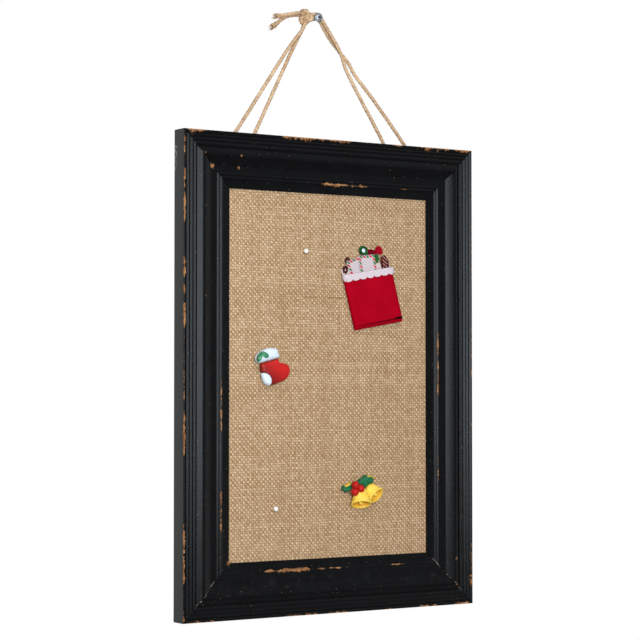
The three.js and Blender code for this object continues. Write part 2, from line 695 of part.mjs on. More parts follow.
// The trim band round the pouch's mouth: a front with a scalloped lower edge and a return at each side
function pouchTrim(depth) {
  const half = POUCH_WIDTH / 2 + SEAT_GAP + TRIM_THICKNESS;
  const step = (2 * half) / SCALLOP_COUNT;
  const shape = new THREE.Shape();
  shape.moveTo(half, TRIM_HEIGHT);
  shape.lineTo(-half, TRIM_HEIGHT);
  shape.lineTo(-half, 0);
  for (let i = 0; i < SCALLOP_COUNT; i += 1) {
    const start = -half + i * step;
    shape.bezierCurveTo(
      start + step * 0.15, -SCALLOP_DROP * 1.3, start + step * 0.85, -SCALLOP_DROP * 1.3, start + step, 0,
    );
  }
  shape.closePath();
  let band = solid(relief(shape, TRIM_THICKNESS));
  for (const side of [-1, 1]) {
    band = band.add(solid(box(
      TRIM_THICKNESS, depth, TRIM_HEIGHT,
      side * (half - TRIM_THICKNESS / 2), depth / 2 - TRIM_THICKNESS, TRIM_HEIGHT / 2,
    )));
  }
  return geometryOf(band);
}

function wreathOutline() {
  const shape = ellipse(WREATH_RADIUS, WREATH_RADIUS);
  const hole = new THREE.Path();
  hole.absellipse(0, 0, WREATH_HOLE_RADIUS, WREATH_HOLE_RADIUS, 0, 2 * Math.PI, true);
  shape.holes.push(hole);
  return shape;
}

// Two loops that meet in a narrow middle
function bowOutline() {
  const [wide, high] = [BOW_HALF_WIDTH, BOW_HALF_HEIGHT];
  const waist = high / 3;
  const shape = new THREE.Shape();
  shape.moveTo(0, waist);
  shape.bezierCurveTo(wide / 2, high * 1.3, wide, high * 1.2, wide, 0);
  shape.bezierCurveTo(wide, -high * 1.2, wide / 2, -high * 1.3, 0, -waist);
  shape.bezierCurveTo(-wide / 2, -high * 1.3, -wide, -high * 1.2, -wide, 0);
  shape.bezierCurveTo(-wide, high * 1.2, -wide / 2, high * 1.3, 0, waist);
  return shape;
}

function pouchPin() {
  const group = new THREE.Group();
  const depth = 2 * POUCH_WALL + POUCH_SPACE;
  const backHeight = POUCH_HEIGHT + POUCH_BACK_RISE;
  const frontTop = POUCH_HEIGHT / 2;
  const body = relief(roundedRectangle(POUCH_WIDTH, backHeight, POUCH_CORNER), depth);
  body.translate(0, 0, POUCH_BACK_RISE / 2);
  const inside = box(
    POUCH_WIDTH - 2 * POUCH_WALL, POUCH_SPACE, 2 * backHeight,
    0, -POUCH_WALL - POUCH_SPACE / 2, -frontTop + HEM_HEIGHT + POUCH_WALL + backHeight,
  );
  const aboveFront = box(
    2 * POUCH_WIDTH, 2 * depth, 2 * POUCH_BACK_RISE,
    0, -POUCH_WALL - depth, frontTop + POUCH_BACK_RISE,
  );
  const hemStep = box(2 * POUCH_WIDTH, 2 * HEM_STEP, 2 * HEM_HEIGHT, 0, -depth, -frontTop);

  const rearLayer = -POUCH_WALL - SEAT_GAP;
  const frontLayer = rearLayer - TOKEN_THICKNESS - SEAT_GAP;
  const letterHeight = LETTER_RISE + POUCH_CONTENTS_DEPTH;
  const letterCentre = frontTop - POUCH_CONTENTS_DEPTH + letterHeight / 2;
  const letter = (width) => relief(rectangle(width, letterHeight), LETTER_THICKNESS);
  const token = (shape) => relief(shape, TOKEN_THICKNESS, TOKEN_EDGE, 2);
  const sprig = ellipse(...SPRIG_HALF_SIZE);
  const biscuit = ellipse(...BISCUIT_HALF_SIZE);
  const trimPlace = [0, -depth - SEAT_GAP, frontTop - TRIM_HEIGHT];
  const pieces = [
    ['pouch_pocket', cut(body, [inside, aboveFront, hemStep]), redFelt, [0, 0, 0], 0],
    ['pouch_trim', pouchTrim(depth), whiteFelt, trimPlace, 0],
    ['envelope_left', letter(LEFT_LETTER_WIDTH), paper, [-9.5, rearLayer, letterCentre - 1], -0.2],
    ['envelope_right', letter(RIGHT_LETTER_WIDTH), paper, [1, frontLayer, letterCentre + 0.3], 0.05],
    ['letter_wreath', token(wreathOutline()), greenClay, [0.6, rearLayer, frontTop + 16.9], 0],
    ['letter_bow', token(bowOutline()), redFelt, [13.1, rearLayer, frontTop + 14.7], -0.2],
    ['letter_holly', token(sprig), greenClay, [11.3, rearLayer, frontTop + 7.4], 0.2],
    ['letter_biscuit', token(biscuit), brownClay, [18.8, rearLayer, frontTop + 3.5], 0.1],
  ];
  const lean = new THREE.Matrix4().makeShear(0, 0, 0, 0, -POUCH_LEAN, 0);
  const sewn = new THREE.Group();
  sewn.position.y = -ornamentBack;
  sewn.rotation.y = -POUCH_TILT;
  for (const [name, geometry, material, place, turn] of pieces) {
    sewn.add(mesh(name, geometry.rotateY(turn).translate(...place).applyMatrix4(lean), material));
  }
  group.add(sewn, tack('pouch_tack'));
  return group;
}

function buildPins() {
  const group = new THREE.Group();
  const pins = [
    [ballPin('upper_ball_pin'), UPPER_BALL_PLACE],
    [ballPin('lower_ball_pin'), LOWER_BALL_PLACE],
    [stockingPin(), STOCKING_PLACE],
    [bellsPin(), BELLS_PLACE],
    [pouchPin(), POUCH_PLACE],
  ];
  for (const [pin, place] of pins) {
    const [x, z] = pinPlace(place);
    pin.position.set(x, panelFace, z);
    group.add(pin);
  }
  return group;
}

// Hanging: screw, twine and staples, about the screw's axis

function wallScrew() {
  const shank = SCREW_SHANK_DIAMETER / 2;
  const head = SCREW_HEAD_DIAMETER / 2;
  const headTop = -SCREW_STANDOFF - SCREW_HEAD_HEIGHT;
  const profile = [
    [0, headTop],
    [head * 0.45, headTop + 0.1],
    [head * 0.8, headTop + SCREW_HEAD_HEIGHT * 0.25],
    [head, headTop + SCREW_HEAD_HEIGHT * 0.65],
    [head, -SCREW_STANDOFF],
    [shank, -SCREW_STANDOFF],
    [shank, SCREW_IN_WALL - SCREW_POINT],
    [0, SCREW_IN_WALL],
  ];
  const slotDepth = 2 * SCREW_SLOT_DEPTH;
  return mesh('wall_screw', cut(turned(profile, 20), [
    box(SCREW_SLOT_LENGTH, slotDepth, SCREW_SLOT_WIDTH, 0, headTop, 0),
    box(SCREW_SLOT_WIDTH, slotDepth, SCREW_SLOT_LENGTH, 0, headTop, 0),
  ]), steel);
}

// A route whose steps follow its points, so that tight bends get as many steps as they have points
class Route extends THREE.CatmullRomCurve3 {
  getPointAt(share, target) {
    return this.getPoint(share, target);
  }

  getTangentAt(share, target) {
    return this.getTangent(share, target);
  }
}

function twine(points) {
  const route = new Route(points.map((point) => new THREE.Vector3(...point)));
  const section = new THREE.Shape();
  for (let i = 0; i < TWINE_SIDES; i += 1) {
    const angle = (i / TWINE_SIDES) * 2 * Math.PI;
    const [x, y] = [Math.cos(angle) * TWINE_DIAMETER / 2, Math.sin(angle) * TWINE_DIAMETER / 2];
    if (i === 0) section.moveTo(x, y);
    else section.lineTo(x, y);
  }
  section.closePath();
  return new THREE.ExtrudeGeometry(section, {
    steps: TWINE_STEPS_PER_SPAN * (points.length - 1),
    extrudePath: route,
    bevelEnabled: false,
  });
}

function knotBody(clearance) {
  const geometry = new THREE.SphereGeometry(1, 18, 12);
  geometry.scale(KNOT_RADII.x + clearance, KNOT_RADII.y + clearance, KNOT_RADII.z + clearance);
  return geometry.translate(KNOT_CENTRE.x, KNOT_CENTRE.y, KNOT_CENTRE.z);
}

// The left loop leaves the knot's underside, turns in a U behind the top rail and comes back
const LEFT_LOOP = [
  [-11.4, -7.6, -1.6],
  [-13.2, -7.6, -8.2],
  RUNS.left_outer.start,
  RUNS.left_outer.end,
  [-94.6, strandDepth, -115.0],
  [-97.6, strandDepth, -120.4],
  [-96.8, strandDepth, -126.0],
  [-91.8, strandDepth, -129.6],
  [-84.7, strandDepth, -129.2],
  [-77.7, strandDepth, -124.2],
  [-73.0, strandDepth, -115.0],
  RUNS.left_inner.end,
  RUNS.left_inner.start,
  [-11.6, -3.8, -8.2],
  [-9.8, -3.9, -1.6],
];

// The right loop goes over the screw in front, down and round behind the rail, and back over behind
const RIGHT_LOOP = [
  [-9.4, -6.75, 1.4],
  [-4.6, -6.75, 3.4],
  [-0.6, -6.75, 4.3],
  [3.3, -6.75, 3.0],
  [6.0, -6.75, -1.0],
  [14.8, -6.7, -13.4],
  [23.1, -6.5, -26.1],
  RUNS.right_inner.start,
  RUNS.right_inner.end,
  [68.8, strandDepth, -115.0],
  [73.6, strandDepth, -122.0],
  [80.0, strandDepth, -127.6],
  [88.6, strandDepth, -129.6],
  [96.8, strandDepth, -126.6],
  [98.8, strandDepth, -120.4],
  [94.4, strandDepth, -115.0],
  RUNS.right_outer.end,
  RUNS.right_outer.start,
  [22.9, -2.7, -26.1],
  [12.8, -2.8, -14.0],
  [4.9, -2.95, -2.0],
  [3.3, -2.95, 3.0],
  [-0.6, -2.95, 4.3],
  [-4.6, -2.95, 3.4],
  [-9.4, -2.95, 1.4],
];

const UPPER_TAIL = [
  [-13.4, -8.2, 1.4],
  [-18.6, -8.4, 1.9],
  [-29.8, -8.6, -0.4],
  [-40.4, -8.6, -3.0],
];

const LOWER_TAIL = [
  [-13.4, -4.3, 0.7],
  [-18.6, -4.4, 0.8],
  [-29.4, -4.6, -2.0],
  [-41.6, -5.2, -10.8],
];

function buildHanging() {
  const group = new THREE.Group();
  group.add(wallScrew());
  const strands = [
    ['twine_left_loop', LEFT_LOOP],
    ['twine_right_loop', RIGHT_LOOP],
    ['twine_tail_upper', UPPER_TAIL],
    ['twine_tail_lower', LOWER_TAIL],
  ];
  for (const [name, route] of strands) {
    group.add(mesh(name, cut(twine(route), [knotBody(SEAT_GAP)]), jute));
  }
  group.add(mesh('twine_knot', knotBody(0), jute));
  for (const [name, run] of Object.entries(RUNS)) {
    const seat = stapleSeat(run);
    const wire = mesh(`twine_staple_${name}`, staple(0), steel);
    wire.position.set(seat.x, strandDepth, seat.z);
    wire.rotation.y = seat.turn;
    group.add(wire);
  }
  return group;
}

const board = new THREE.Group();
board.position.copy(boardOrigin);
board.add(buildFrame(), buildPanel(), buildPins());

const memoBoard = new THREE.Group();
memoBoard.add(buildHanging(), board);

export default memoBoard;
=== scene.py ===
import math
import random

import bpy
from mathutils import Matrix, Vector
from mathutils.bvhtree import BVHTree
from mathutils.geometry import interpolate_bezier
from mathutils.kdtree import KDTree


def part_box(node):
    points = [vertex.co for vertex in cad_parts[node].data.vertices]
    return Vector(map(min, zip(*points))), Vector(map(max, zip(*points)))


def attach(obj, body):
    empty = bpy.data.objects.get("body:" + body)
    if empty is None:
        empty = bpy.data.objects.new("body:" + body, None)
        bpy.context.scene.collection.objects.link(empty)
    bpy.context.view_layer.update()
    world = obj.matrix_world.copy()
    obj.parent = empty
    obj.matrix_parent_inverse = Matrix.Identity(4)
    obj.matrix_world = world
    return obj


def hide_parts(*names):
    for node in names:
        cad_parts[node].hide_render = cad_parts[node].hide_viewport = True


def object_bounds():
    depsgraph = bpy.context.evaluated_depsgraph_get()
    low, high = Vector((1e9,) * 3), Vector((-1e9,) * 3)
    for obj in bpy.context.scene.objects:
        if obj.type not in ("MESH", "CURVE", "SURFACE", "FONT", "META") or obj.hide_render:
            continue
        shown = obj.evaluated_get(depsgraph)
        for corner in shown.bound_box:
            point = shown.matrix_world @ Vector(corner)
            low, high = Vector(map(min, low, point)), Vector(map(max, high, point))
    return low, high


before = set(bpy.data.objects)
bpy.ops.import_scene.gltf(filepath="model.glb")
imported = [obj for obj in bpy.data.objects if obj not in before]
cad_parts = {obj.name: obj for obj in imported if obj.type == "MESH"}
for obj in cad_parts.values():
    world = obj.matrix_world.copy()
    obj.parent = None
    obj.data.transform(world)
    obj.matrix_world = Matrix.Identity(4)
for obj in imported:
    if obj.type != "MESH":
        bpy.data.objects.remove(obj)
cad_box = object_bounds()


# The studio: the camera stands left of the board and level with its middle. A soft light near the
# camera draws the slopes of the moulding, one above fills the front, and two more light the left side
# and the back.
scene = bpy.context.scene
scene.view_settings.view_transform = "Standard"

camera = bpy.data.objects.new("camera", bpy.data.cameras.new("camera"))
scene.collection.objects.link(camera)
camera.location = (-0.94396, -1.42351, -0.30351)
camera.rotation_euler = (math.radians(91.877), 0, math.radians(-33.758))
camera.data.lens = 117.467
camera.data.sensor_width = 36
scene.camera = camera


def middle_of(node):
    low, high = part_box(node)
    return (low + high) / 2


board_middle = middle_of("core_board")


def soft_light(name, place, size, power):
    bpy.ops.object.light_add(type="AREA", location=place)
    light = bpy.context.object
    light.name = name
    light.data.shape = "RECTANGLE"
    light.data.size, light.data.size_y = size
    light.data.energy = power
    light.rotation_euler = (board_middle - Vector(place)).to_track_quat("-Z", "Y").to_euler()
    light.visible_camera = False


soft_light("key_light", (-0.47, -1.11, -0.2), (0.58, 0.56), 14.6)
soft_light("top_light", (-0.18, -0.84, 0.81), (0.7, 0.5), 5.6)
soft_light("side_light", (-0.727, 1.078, -0.2), (0.8, 1.0), 2.7)
soft_light("back_light", (0.75, 1.25, 0.1), (0.9, 0.9), 14)


# The frame: four lengths of reeded and coved softwood moulding, mitred, glued and V-nailed. They
# are painted satin black and then rubbed through to the wood on every edge that sticks out.
class Tone:
    """A socket of a node tree. Arithmetic on it adds Math nodes."""

    def __init__(self, tree, socket):
        self.tree = tree
        self.socket = socket

    def node(self, kind, inputs, output=0, stops=None, **settings):
        """Adds a node: its settings are set first, then the values or links of its sockets."""
        made = self.tree.nodes.new("ShaderNode" + kind)
        for name, value in settings.items():
            setattr(made, name, value)
        if stops:
            for place, _ in stops[2:]:
                made.color_ramp.elements.new(place)
            for element, (place, colour) in zip(made.color_ramp.elements, stops):
                element.position = place
                element.color = colour
        for name, value in inputs.items():
            if isinstance(value, Tone):
                self.tree.links.new(value.socket, made.inputs[name])
            else:
                made.inputs[name].default_value = value
        return Tone(self.tree, made.outputs[output])

    def math(self, operation, *others):
        return self.node("Math", dict(enumerate((self, *others))), operation=operation)

    def __add__(self, other):
        return self.math("ADD", other)

    def __sub__(self, other):
        return self.math("SUBTRACT", other)

    def __rsub__(self, other):
        return self.node("Math", {0: other, 1: self}, operation="SUBTRACT")

    def __mul__(self, other):
        return self.math("MULTIPLY", other)

    def __truediv__(self, other):
        return self.math("DIVIDE", other)

    def __abs__(self):
        return self.math("ABSOLUTE")

    def __lt__(self, other):
        return self.math("LESS_THAN", other)

    def __gt__(self, other):
        return self.math("GREATER_THAN", other)

    __radd__ = __add__
    __rmul__ = __mul__

    def least(self, other):
        return self.math("MINIMUM", other)

    def most(self, other):
        return self.math("MAXIMUM", other)

    def ramp(self, low, high):
        """0 below low and 1 above high, smooth between them; low may lie above high."""
        return self.node(
            "MapRange",
            {"Value": self, "From Min": low, "From Max": high},
            interpolation_type="SMOOTHSTEP",
        )

    def mix(self, colour, other):
        """One colour where this value is 0 and the other where it is 1."""
        return self.node("Mix", {0: self, 6: colour, 7: other}, 2, data_type="RGBA")

    def shades(self, low, high):
        """From one colour to the other, over the middle of a noise's range."""
        return self.ramp(0.3, 0.7).mix(low, high)

    def part(self, axis):
        """One coordinate of a place: X, Y or Z."""
        return self.node("SeparateXYZ", {"Vector": self}, axis)

    def noise(self, scale, detail=3, roughness=0.55, stretch=(1, 1, 1), shift=(0, 0, 0)):
        """Noise at this place in space, with that many waves to a millimetre."""
        spot = self.node("Mapping", {"Vector": self, "Location": shift, "Scale": stretch})
        waves = {"Vector": spot, "Scale": scale, "Detail": detail, "Roughness": roughness}
        return self.node("TexNoise", waves)

    def bump(self, strength, distance):
        """The Normal of a surface with this height, in metres of distance."""
        return self.node("Bump", {"Height": self, "Strength": strength, "Distance": distance})


def new_finish(name):
    """A material, and the place on the piece in millimetres for its pattern to follow."""
    material = bpy.data.materials.new(name)
    material.use_nodes = True
    tree = material.node_tree
    place = Tone(tree, tree.nodes.new("ShaderNodeTexCoord").outputs["Object"])
    return material, place.node("VectorMath", {0: place, "Scale": 1000}, operation="SCALE")


def set_finish(material, sockets):
    shader = material.node_tree.nodes["Principled BSDF"]
    for name, value in sockets.items():
        if isinstance(value, Tone):
            material.node_tree.links.new(value.socket, shader.inputs[name])
        else:
            shader.inputs[name].default_value = value


weld_gap = 0.000002


def shading_below(angle):
    """A node group that welds loose triangles and shades smooth across edges up to that angle."""
    group = bpy.data.node_groups.new(f"soft_shading_{angle}", "GeometryNodeTree")
    for way in ("INPUT", "OUTPUT"):
        group.interface.new_socket("Geometry", in_out=way, socket_type="NodeSocketGeometry")
    add = group.nodes.new
    join = group.links.new
    inlet = add("NodeGroupInput")
    weld = add("GeometryNodeMergeByDistance")
    weld.inputs["Distance"].default_value = weld_gap
    all_smooth = add("GeometryNodeSetShadeSmooth")
    edge_angle = add("GeometryNodeInputMeshEdgeAngle")
    steep = add("FunctionNodeCompare")
    steep.inputs[1].default_value = math.radians(angle)
    steep_sharp = add("GeometryNodeSetShadeSmooth")
    steep_sharp.domain = "EDGE"
    steep_sharp.inputs["Shade Smooth"].default_value = False
    outlet = add("NodeGroupOutput")
    join(inlet.outputs[0], weld.inputs["Geometry"])
    join(weld.outputs[0], all_smooth.inputs["Geometry"])
    join(edge_angle.outputs["Unsigned Angle"], steep.inputs[0])
    join(all_smooth.outputs[0], steep_sharp.inputs["Geometry"])
    join(steep.outputs[0], steep_sharp.inputs["Selection"])
    join(steep_sharp.outputs[0], outlet.inputs[0])
    return group


def coat_nodes(material, *nodes, angle=34):
    """Gives CAD nodes a material, and smooth shading across their shallow edges."""
    shading = shading_below(angle)
    for node in nodes:
        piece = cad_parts[node]
        piece.data.materials.clear()
        piece.data.materials.append(material)
        piece.modifiers.new("soft_shading", "NODES").node_group = shading


frame_low, frame_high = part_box("left_stile")[0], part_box("right_stile")[1]
frame_middle = (frame_low + frame_high) * 500
frame_half_width = (frame_high.x - frame_low.x) * 500
frame_half_height = (frame_high.z - frame_low.z) * 500
frame_front = frame_low.y * 1000
inner_bead = 35.8
bead_pitch = 2.6

black_paint, place = new_finish("worn_black_paint")
x, y, z = (place.part(axis) for axis in "XYZ")
from_stile = frame_half_width - abs(x - frame_middle.x)
from_rail = frame_half_height - abs(z - frame_middle.z)
inward = from_stile.least(from_rail)
depth = y - frame_front
on_stile = from_stile < from_rail
on_left = on_stile * (x < frame_middle.x)
on_right = on_stile * (x > frame_middle.x)
on_top = (1 - on_stile) * (z > frame_middle.z)
on_bottom = (1 - on_stile) * (z < frame_middle.z)


def worn_stretches(along, low, high, stretches):
    """How deep the paint is rubbed off along an edge, in millimetres, from (from, to, depth)."""
    stops = [(0, (0, 0, 0, 1)), (1, (0, 0, 0, 1))]
    fade = 3.5
    for start, end, reach in stretches:
        painted_shade_depths = ((start - fade, 0), (start + fade, reach), (end - fade, reach), (end + fade, 0))
        for here, value in painted_shade_depths:
            share = min(max((here - low) / (high - low), 0.001), 0.999)
            stops.append((share, (value, value, value, 1)))
    stops.sort(key=lambda stop: stop[0])
    share = along.node("MapRange", {"Value": along, "From Min": low, "From Max": high})
    return share.node("ValToRGB", {"Fac": share}, stops=stops)


rail_ends = (frame_middle.x - frame_half_width, frame_middle.x + frame_half_width)
stile_ends = (frame_middle.z - frame_half_height, frame_middle.z + frame_half_height)
arris_wear = on_left * worn_stretches(
    z, *stile_ends,
    [(-484, -474, 1.8), (-452, -409, 2.4), (-357, -322, 2.5), (-315, -262, 1.0), (-255, -202, 2.5),
     (-174, -134, 1.9), (-122, -103, 1.5)],
)
arris_wear += on_right * worn_stretches(
    z, *stile_ends, [(-215, -125, 1.4), (-300, -250, 1.7), (-350, -330, 1.5), (-472, -434, 3.4)],
)
arris_wear += on_top * worn_stretches(
    x, *rail_ends, [(-140, -122, 3.0), (-48, 16, 3.0), (60, 72, 1.6), (86, 116, 3.2), (122, 140, 3.6)],
)
arris_wear += on_bottom * worn_stretches(
    x, *rail_ends, [(-140, -112, 1.6), (-46, 12, 1.6), (50, 58, 1.0), (84, 104, 1.8), (122, 141, 2.6)],
)
bead_wear = on_top * worn_stretches(x, *rail_ends, [(-8, 33, 2.0), (70, 78, 1.0)])
bead_wear += on_bottom * worn_stretches(x, *rail_ends, [(-62, -20, 2.1), (-14, 15, 1.3), (60, 70, 1.0)])
bead_wear += on_right * worn_stretches(z, *stile_ends, [(-310, -258, 1.3), (-380, -362, 0.9)])
bead_wear += on_left * worn_stretches(z, *stile_ends, [(-336, -300, 1.2), (-414, -382, 1.2)])

ragged = place.noise(0.42, 5, 0.8) * 4.4 - 1.6
patchy = place.noise(0.11, 2, 0.5, shift=(11, 3, 7))
worn_here = ragged * (patchy * 1.6).ramp(0.45, 0.95)
arris_worn = (arris_wear * worn_here - inward.most(depth)).ramp(0, 0.25)
worn_bead = inner_bead - on_right * bead_pitch
bead_worn = (bead_wear * worn_here - abs(inward - worn_bead)).ramp(0, 0.3) * (depth < 12)
chips = place.noise(0.16, 3, 0.75, shift=(40, 17, 2)).ramp(0.742, 0.752) * (depth < 6)
for chip_x, chip_z, chip_size in (
    (-112.1, -129.8, 2.5), (-87.8, -130.2, 2.3), (-120.7, -120.2, 1.3), (-88.1, -120.9, 1.1),
    (123.3, -445.0, 1.7), (-96.4, -439.4, 2.4), (123.9, -467.0, 1.7),
):
    away = (x - chip_x) * (x - chip_x) + (z - chip_z) * (z - chip_z)
    chips = chips.most((ragged * chip_size - away.math("SQRT")).ramp(0, 0.3))
bare = arris_worn.most(bead_worn).most(chips)
mitre_line = (ragged * 0.8 - abs(from_stile - from_rail)).ramp(0, 0.3) * patchy.ramp(0.42, 0.52)
mitre_line *= inward.ramp(10, 14) * inward.ramp(40, 36) * (z < frame_middle.z)
ticks = place.noise(0.9, 2, 0.5, stretch=(1, 1, 0.3), shift=(2, 6, 4)).ramp(0.50, 0.53)
ticks *= (x < rail_ends[0] + 0.2) * depth.ramp(11, 12) * depth.ramp(15, 14)
ticks *= z.ramp(-136, -132) * z.ramp(-112, -116)

long_grain = 0.12
rail_run = place.node("Mapping", {"Vector": place, "Scale": (long_grain, 1, 1)})
stile_run = place.node("Mapping", {"Vector": place, "Scale": (1, 1, long_grain)})
grain_run = on_stile.node("Mix", {0: on_stile, 4: rail_run, 5: stile_run}, 1, data_type="VECTOR")
grain = grain_run.noise(0.8, 4, 0.6)
wood = grain.shades((0.20, 0.080, 0.032, 1), (0.53, 0.275, 0.120, 1))
stain = place.noise(1.1, 4, 0.8, shift=(31, 8, 6)).ramp(0.5, 0.62)
wood = (stain * 0.6).mix(wood, (0.075, 0.030, 0.015, 1))
dust = place.noise(0.9, 2, 0.4, shift=(3, 90, 21)).ramp(0.748, 0.768)
rubbed = place.noise(0.05, 3, 0.6, shift=(9, 9, 1))
paint = rubbed.ramp(0.35, 0.7).mix((0.0010, 0.0009, 0.0012, 1), (0.0020, 0.0020, 0.0024, 1))
smudges = place.noise(0.12, 3, 0.6, shift=(60, 4, 8)).ramp(0.5, 0.75)
smudges *= on_bottom * inward.ramp(17, 20) * inward.ramp(36, 30)
paint = (smudges * 0.5).mix(paint, (0.012, 0.012, 0.012, 1))
paint = (dust * 0.5).most(ticks * 0.9).most(mitre_line * 0.75).mix(paint, (0.36, 0.33, 0.30, 1))
brush_marks = grain_run.noise(1.6, 3, 0.6, shift=(5, 1, 8))
peel = place.noise(0.9, 2, 0.5, shift=(8, 2, 5))
set_finish(black_paint, {
    "Base Color": bare.mix(paint, wood),
    "Roughness": bare * 0.4 + 0.19 + rubbed * 0.12,
    "Specular IOR Level": 0.085,
    "Specular Tint": (0.86, 0.94, 1, 1),
    "Normal": (brush_marks * 0.2 + peel * 0.25 + grain * bare * 0.4 - bare).bump(0.5, 0.00022),
})
coat_nodes(black_paint, "top_rail", "right_stile", "bottom_rail", "left_stile", angle=20)


# The fixings behind: V-nails across the mitres, framer's points that hold the panel in its rabbet
# and wire staples over the twine. All are bright steel, a little dulled.
steel, place = new_finish("dull_bright_steel")
tarnish = place.noise(0.35, 3, 0.6)
set_finish(steel, {
    "Base Color": tarnish.ramp(0.3, 0.75).mix((0.52, 0.52, 0.53, 1), (0.36, 0.35, 0.34, 1)),
    "Metallic": 1,
    "Roughness": tarnish * 0.25 + 0.24,
    "Normal": place.noise(2.5, 2).bump(0.15, 0.0001),
})
fixings = ("v_nail", "framers_point", "twine_staple")
coat_nodes(steel, *(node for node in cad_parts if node.startswith(fixings)))


# The core: a sheet of soft pressed fibreboard that the burlap is wrapped round and the pins go
# into. It shows only from behind, between the turned-over edges of the burlap.
fibreboard, place = new_finish("soft_fibreboard")
flakes = place.noise(0.5, 5, 0.7)
set_finish(fibreboard, {
    "Base Color": flakes.shades((0.24, 0.15, 0.075, 1), (0.42, 0.29, 0.165, 1)),
    "Roughness": 0.9,
    "Specular IOR Level": 0.2,
    "Normal": flakes.bump(0.6, 0.0003),
})
coat_nodes(fibreboard, "core_board")


# The burlap: a plain weave of thick, uneven jute yarn, stretched over the core and turned over on
# its back. Yarns vary in thickness and colour; their tops carry painted light, and the gaps between them
# painted shade.
yarn_pitch = 2.0
yarn_sway = 3.2
pulled_yarn = -230.2
burlap, place = new_finish("natural_burlap")
sway = place.node("TexNoise", {"Vector": place, "Scale": 0.02, "Detail": 3, "Roughness": 0.6}, "Color")
sway = sway.node("VectorMath", {0: sway, 1: (0.5, 0.5, 0.5)}, operation="SUBTRACT")
sway = sway.node("VectorMath", {0: sway, "Scale": yarn_sway}, operation="SCALE")
bent = place.node("VectorMath", {0: place, 1: sway}, operation="ADD")
across = bent.part("X") / yarn_pitch
upward = bent.part("Z") / yarn_pitch
warp_wave = (across * math.pi).math("SINE")
weft_wave = (upward * math.pi).math("SINE")
crossing = warp_wave * weft_wave
warp_height = (abs(warp_wave) + crossing) * 0.5
weft_height = (abs(weft_wave) - crossing) * 0.5
warp_number = across.math("FLOOR")
weft_number = upward.math("FLOOR")
warp_shade = across.node("TexWhiteNoise", {"W": warp_number}, noise_dimensions="1D")
weft_shade = upward.node("TexWhiteNoise", {"W": weft_number + 300}, noise_dimensions="1D")
warp_on_top = warp_height > weft_height
yarn_shade = warp_on_top * warp_shade + (1 - warp_on_top) * weft_shade
yarn_height = warp_height.most(weft_height)
cell = across.node("CombineXYZ", {"X": warp_number, "Y": weft_number})
crossing_shade = cell.node("TexWhiteNoise", {"Vector": cell}, noise_dimensions="2D")
slubs = place.noise(0.05, 3, 0.6)
fibres = place.noise(1.0, 4, 0.75)
diagonal = ((across + upward) * math.pi).math("COSINE")
row = abs(weft_wave)
weave = yarn_height * (0.3 + crossing_shade * 0.3) + row * 0.1 + fibres * 0.45 - diagonal * 0.05
# Painted light: the yarn tops, the warp where it lies on top and the weft rows are painted lighter, one
# diagonal lighter and the other darker.
tone = warp_on_top * 0.13 + yarn_shade * 0.12 + crossing_shade * 0.21 + slubs * 0.1 + fibres * 0.7
tone += yarn_height * 0.13 + row * 0.03 - diagonal * 0.05
yarn = tone.ramp(0.42, 1.16).mix((0.27, 0.160, 0.073, 1), (0.74, 0.575, 0.395, 1))
golden = place.noise(0.7, 3, 0.7, shift=(7, 5, 3)).ramp(0.5, 0.75)
yarn = (golden * 0.4).mix(yarn, (0.56, 0.33, 0.13, 1))
# Painted shade: the gaps between the yarns are painted dark brown, and so is the row where a yarn is
# pulled.
painted_gap_shade = (yarn_height * 0.6 + row * 0.35).ramp(0.5, 0.12) * (0.3 + crossing_shade * 0.6)
x = place.part("X")
pulled = abs(place.part("Z") - pulled_yarn).ramp(1.1, 0.6) * x.ramp(-28, -24) * x.ramp(18, 14)
painted_gap_shade = painted_gap_shade.most(pulled * crossing_shade.ramp(0.5, 0.7) * 0.8)
set_finish(burlap, {
    "Base Color": painted_gap_shade.mix(yarn, (0.23, 0.105, 0.034, 1)),
    "Roughness": 0.92,
    "Specular IOR Level": 0.15,
    "Normal": weave.bump(0.8, 0.0007),
})

cloth_thickness = 0.0009
edge_radius = 0.0015
turned_over = 0.020
ripple_height = 0.00011
held_flat = 0.02
raw_edge_fray = 0.0012
cloth_low, cloth_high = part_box("burlap_cover")
cloth_middle = (cloth_low + cloth_high) / 2
cloth_front = cloth_low.y + cloth_thickness / 2
cloth_depth = cloth_high.y - cloth_low.y - cloth_thickness
flat_x = (cloth_high.x - cloth_low.x - cloth_thickness) / 2 - edge_radius
flat_z = (cloth_high.z - cloth_low.z - cloth_thickness) / 2 - edge_radius

# One path from the front's edge to the raw edge: how far out, how far back
edge_path = []
for i in range(1, 5):
    angle = math.pi / 2 * i / 4
    edge_path.append((edge_radius * math.sin(angle), edge_radius * (1 - math.cos(angle))))
for i in range(5):
    angle = math.pi / 2 * i / 4
    edge_path.append((edge_radius * math.cos(angle), cloth_depth - edge_radius * (1 - math.sin(angle))))
for i in range(1, 7):
    edge_path.append((-turned_over * i / 6, cloth_depth))


def sheet_lines(half, cells):
    """Lines across the sheet, from raw edge to raw edge: place, depth and distance turned over."""
    front = [(half * (2 * i / cells - 1), 0.0, 0.0) for i in range(cells + 1)]
    edge = [(half + out, back, max(0.0, -out)) for out, back in edge_path]
    return [(-place, back, over) for place, back, over in reversed(edge)] + front + edge


def pick(piece):
    """Makes a piece the only one that is selected, and the active one."""
    bpy.ops.object.select_all(action="DESELECT")
    piece.select_set(True)
    bpy.context.view_layer.objects.active = piece


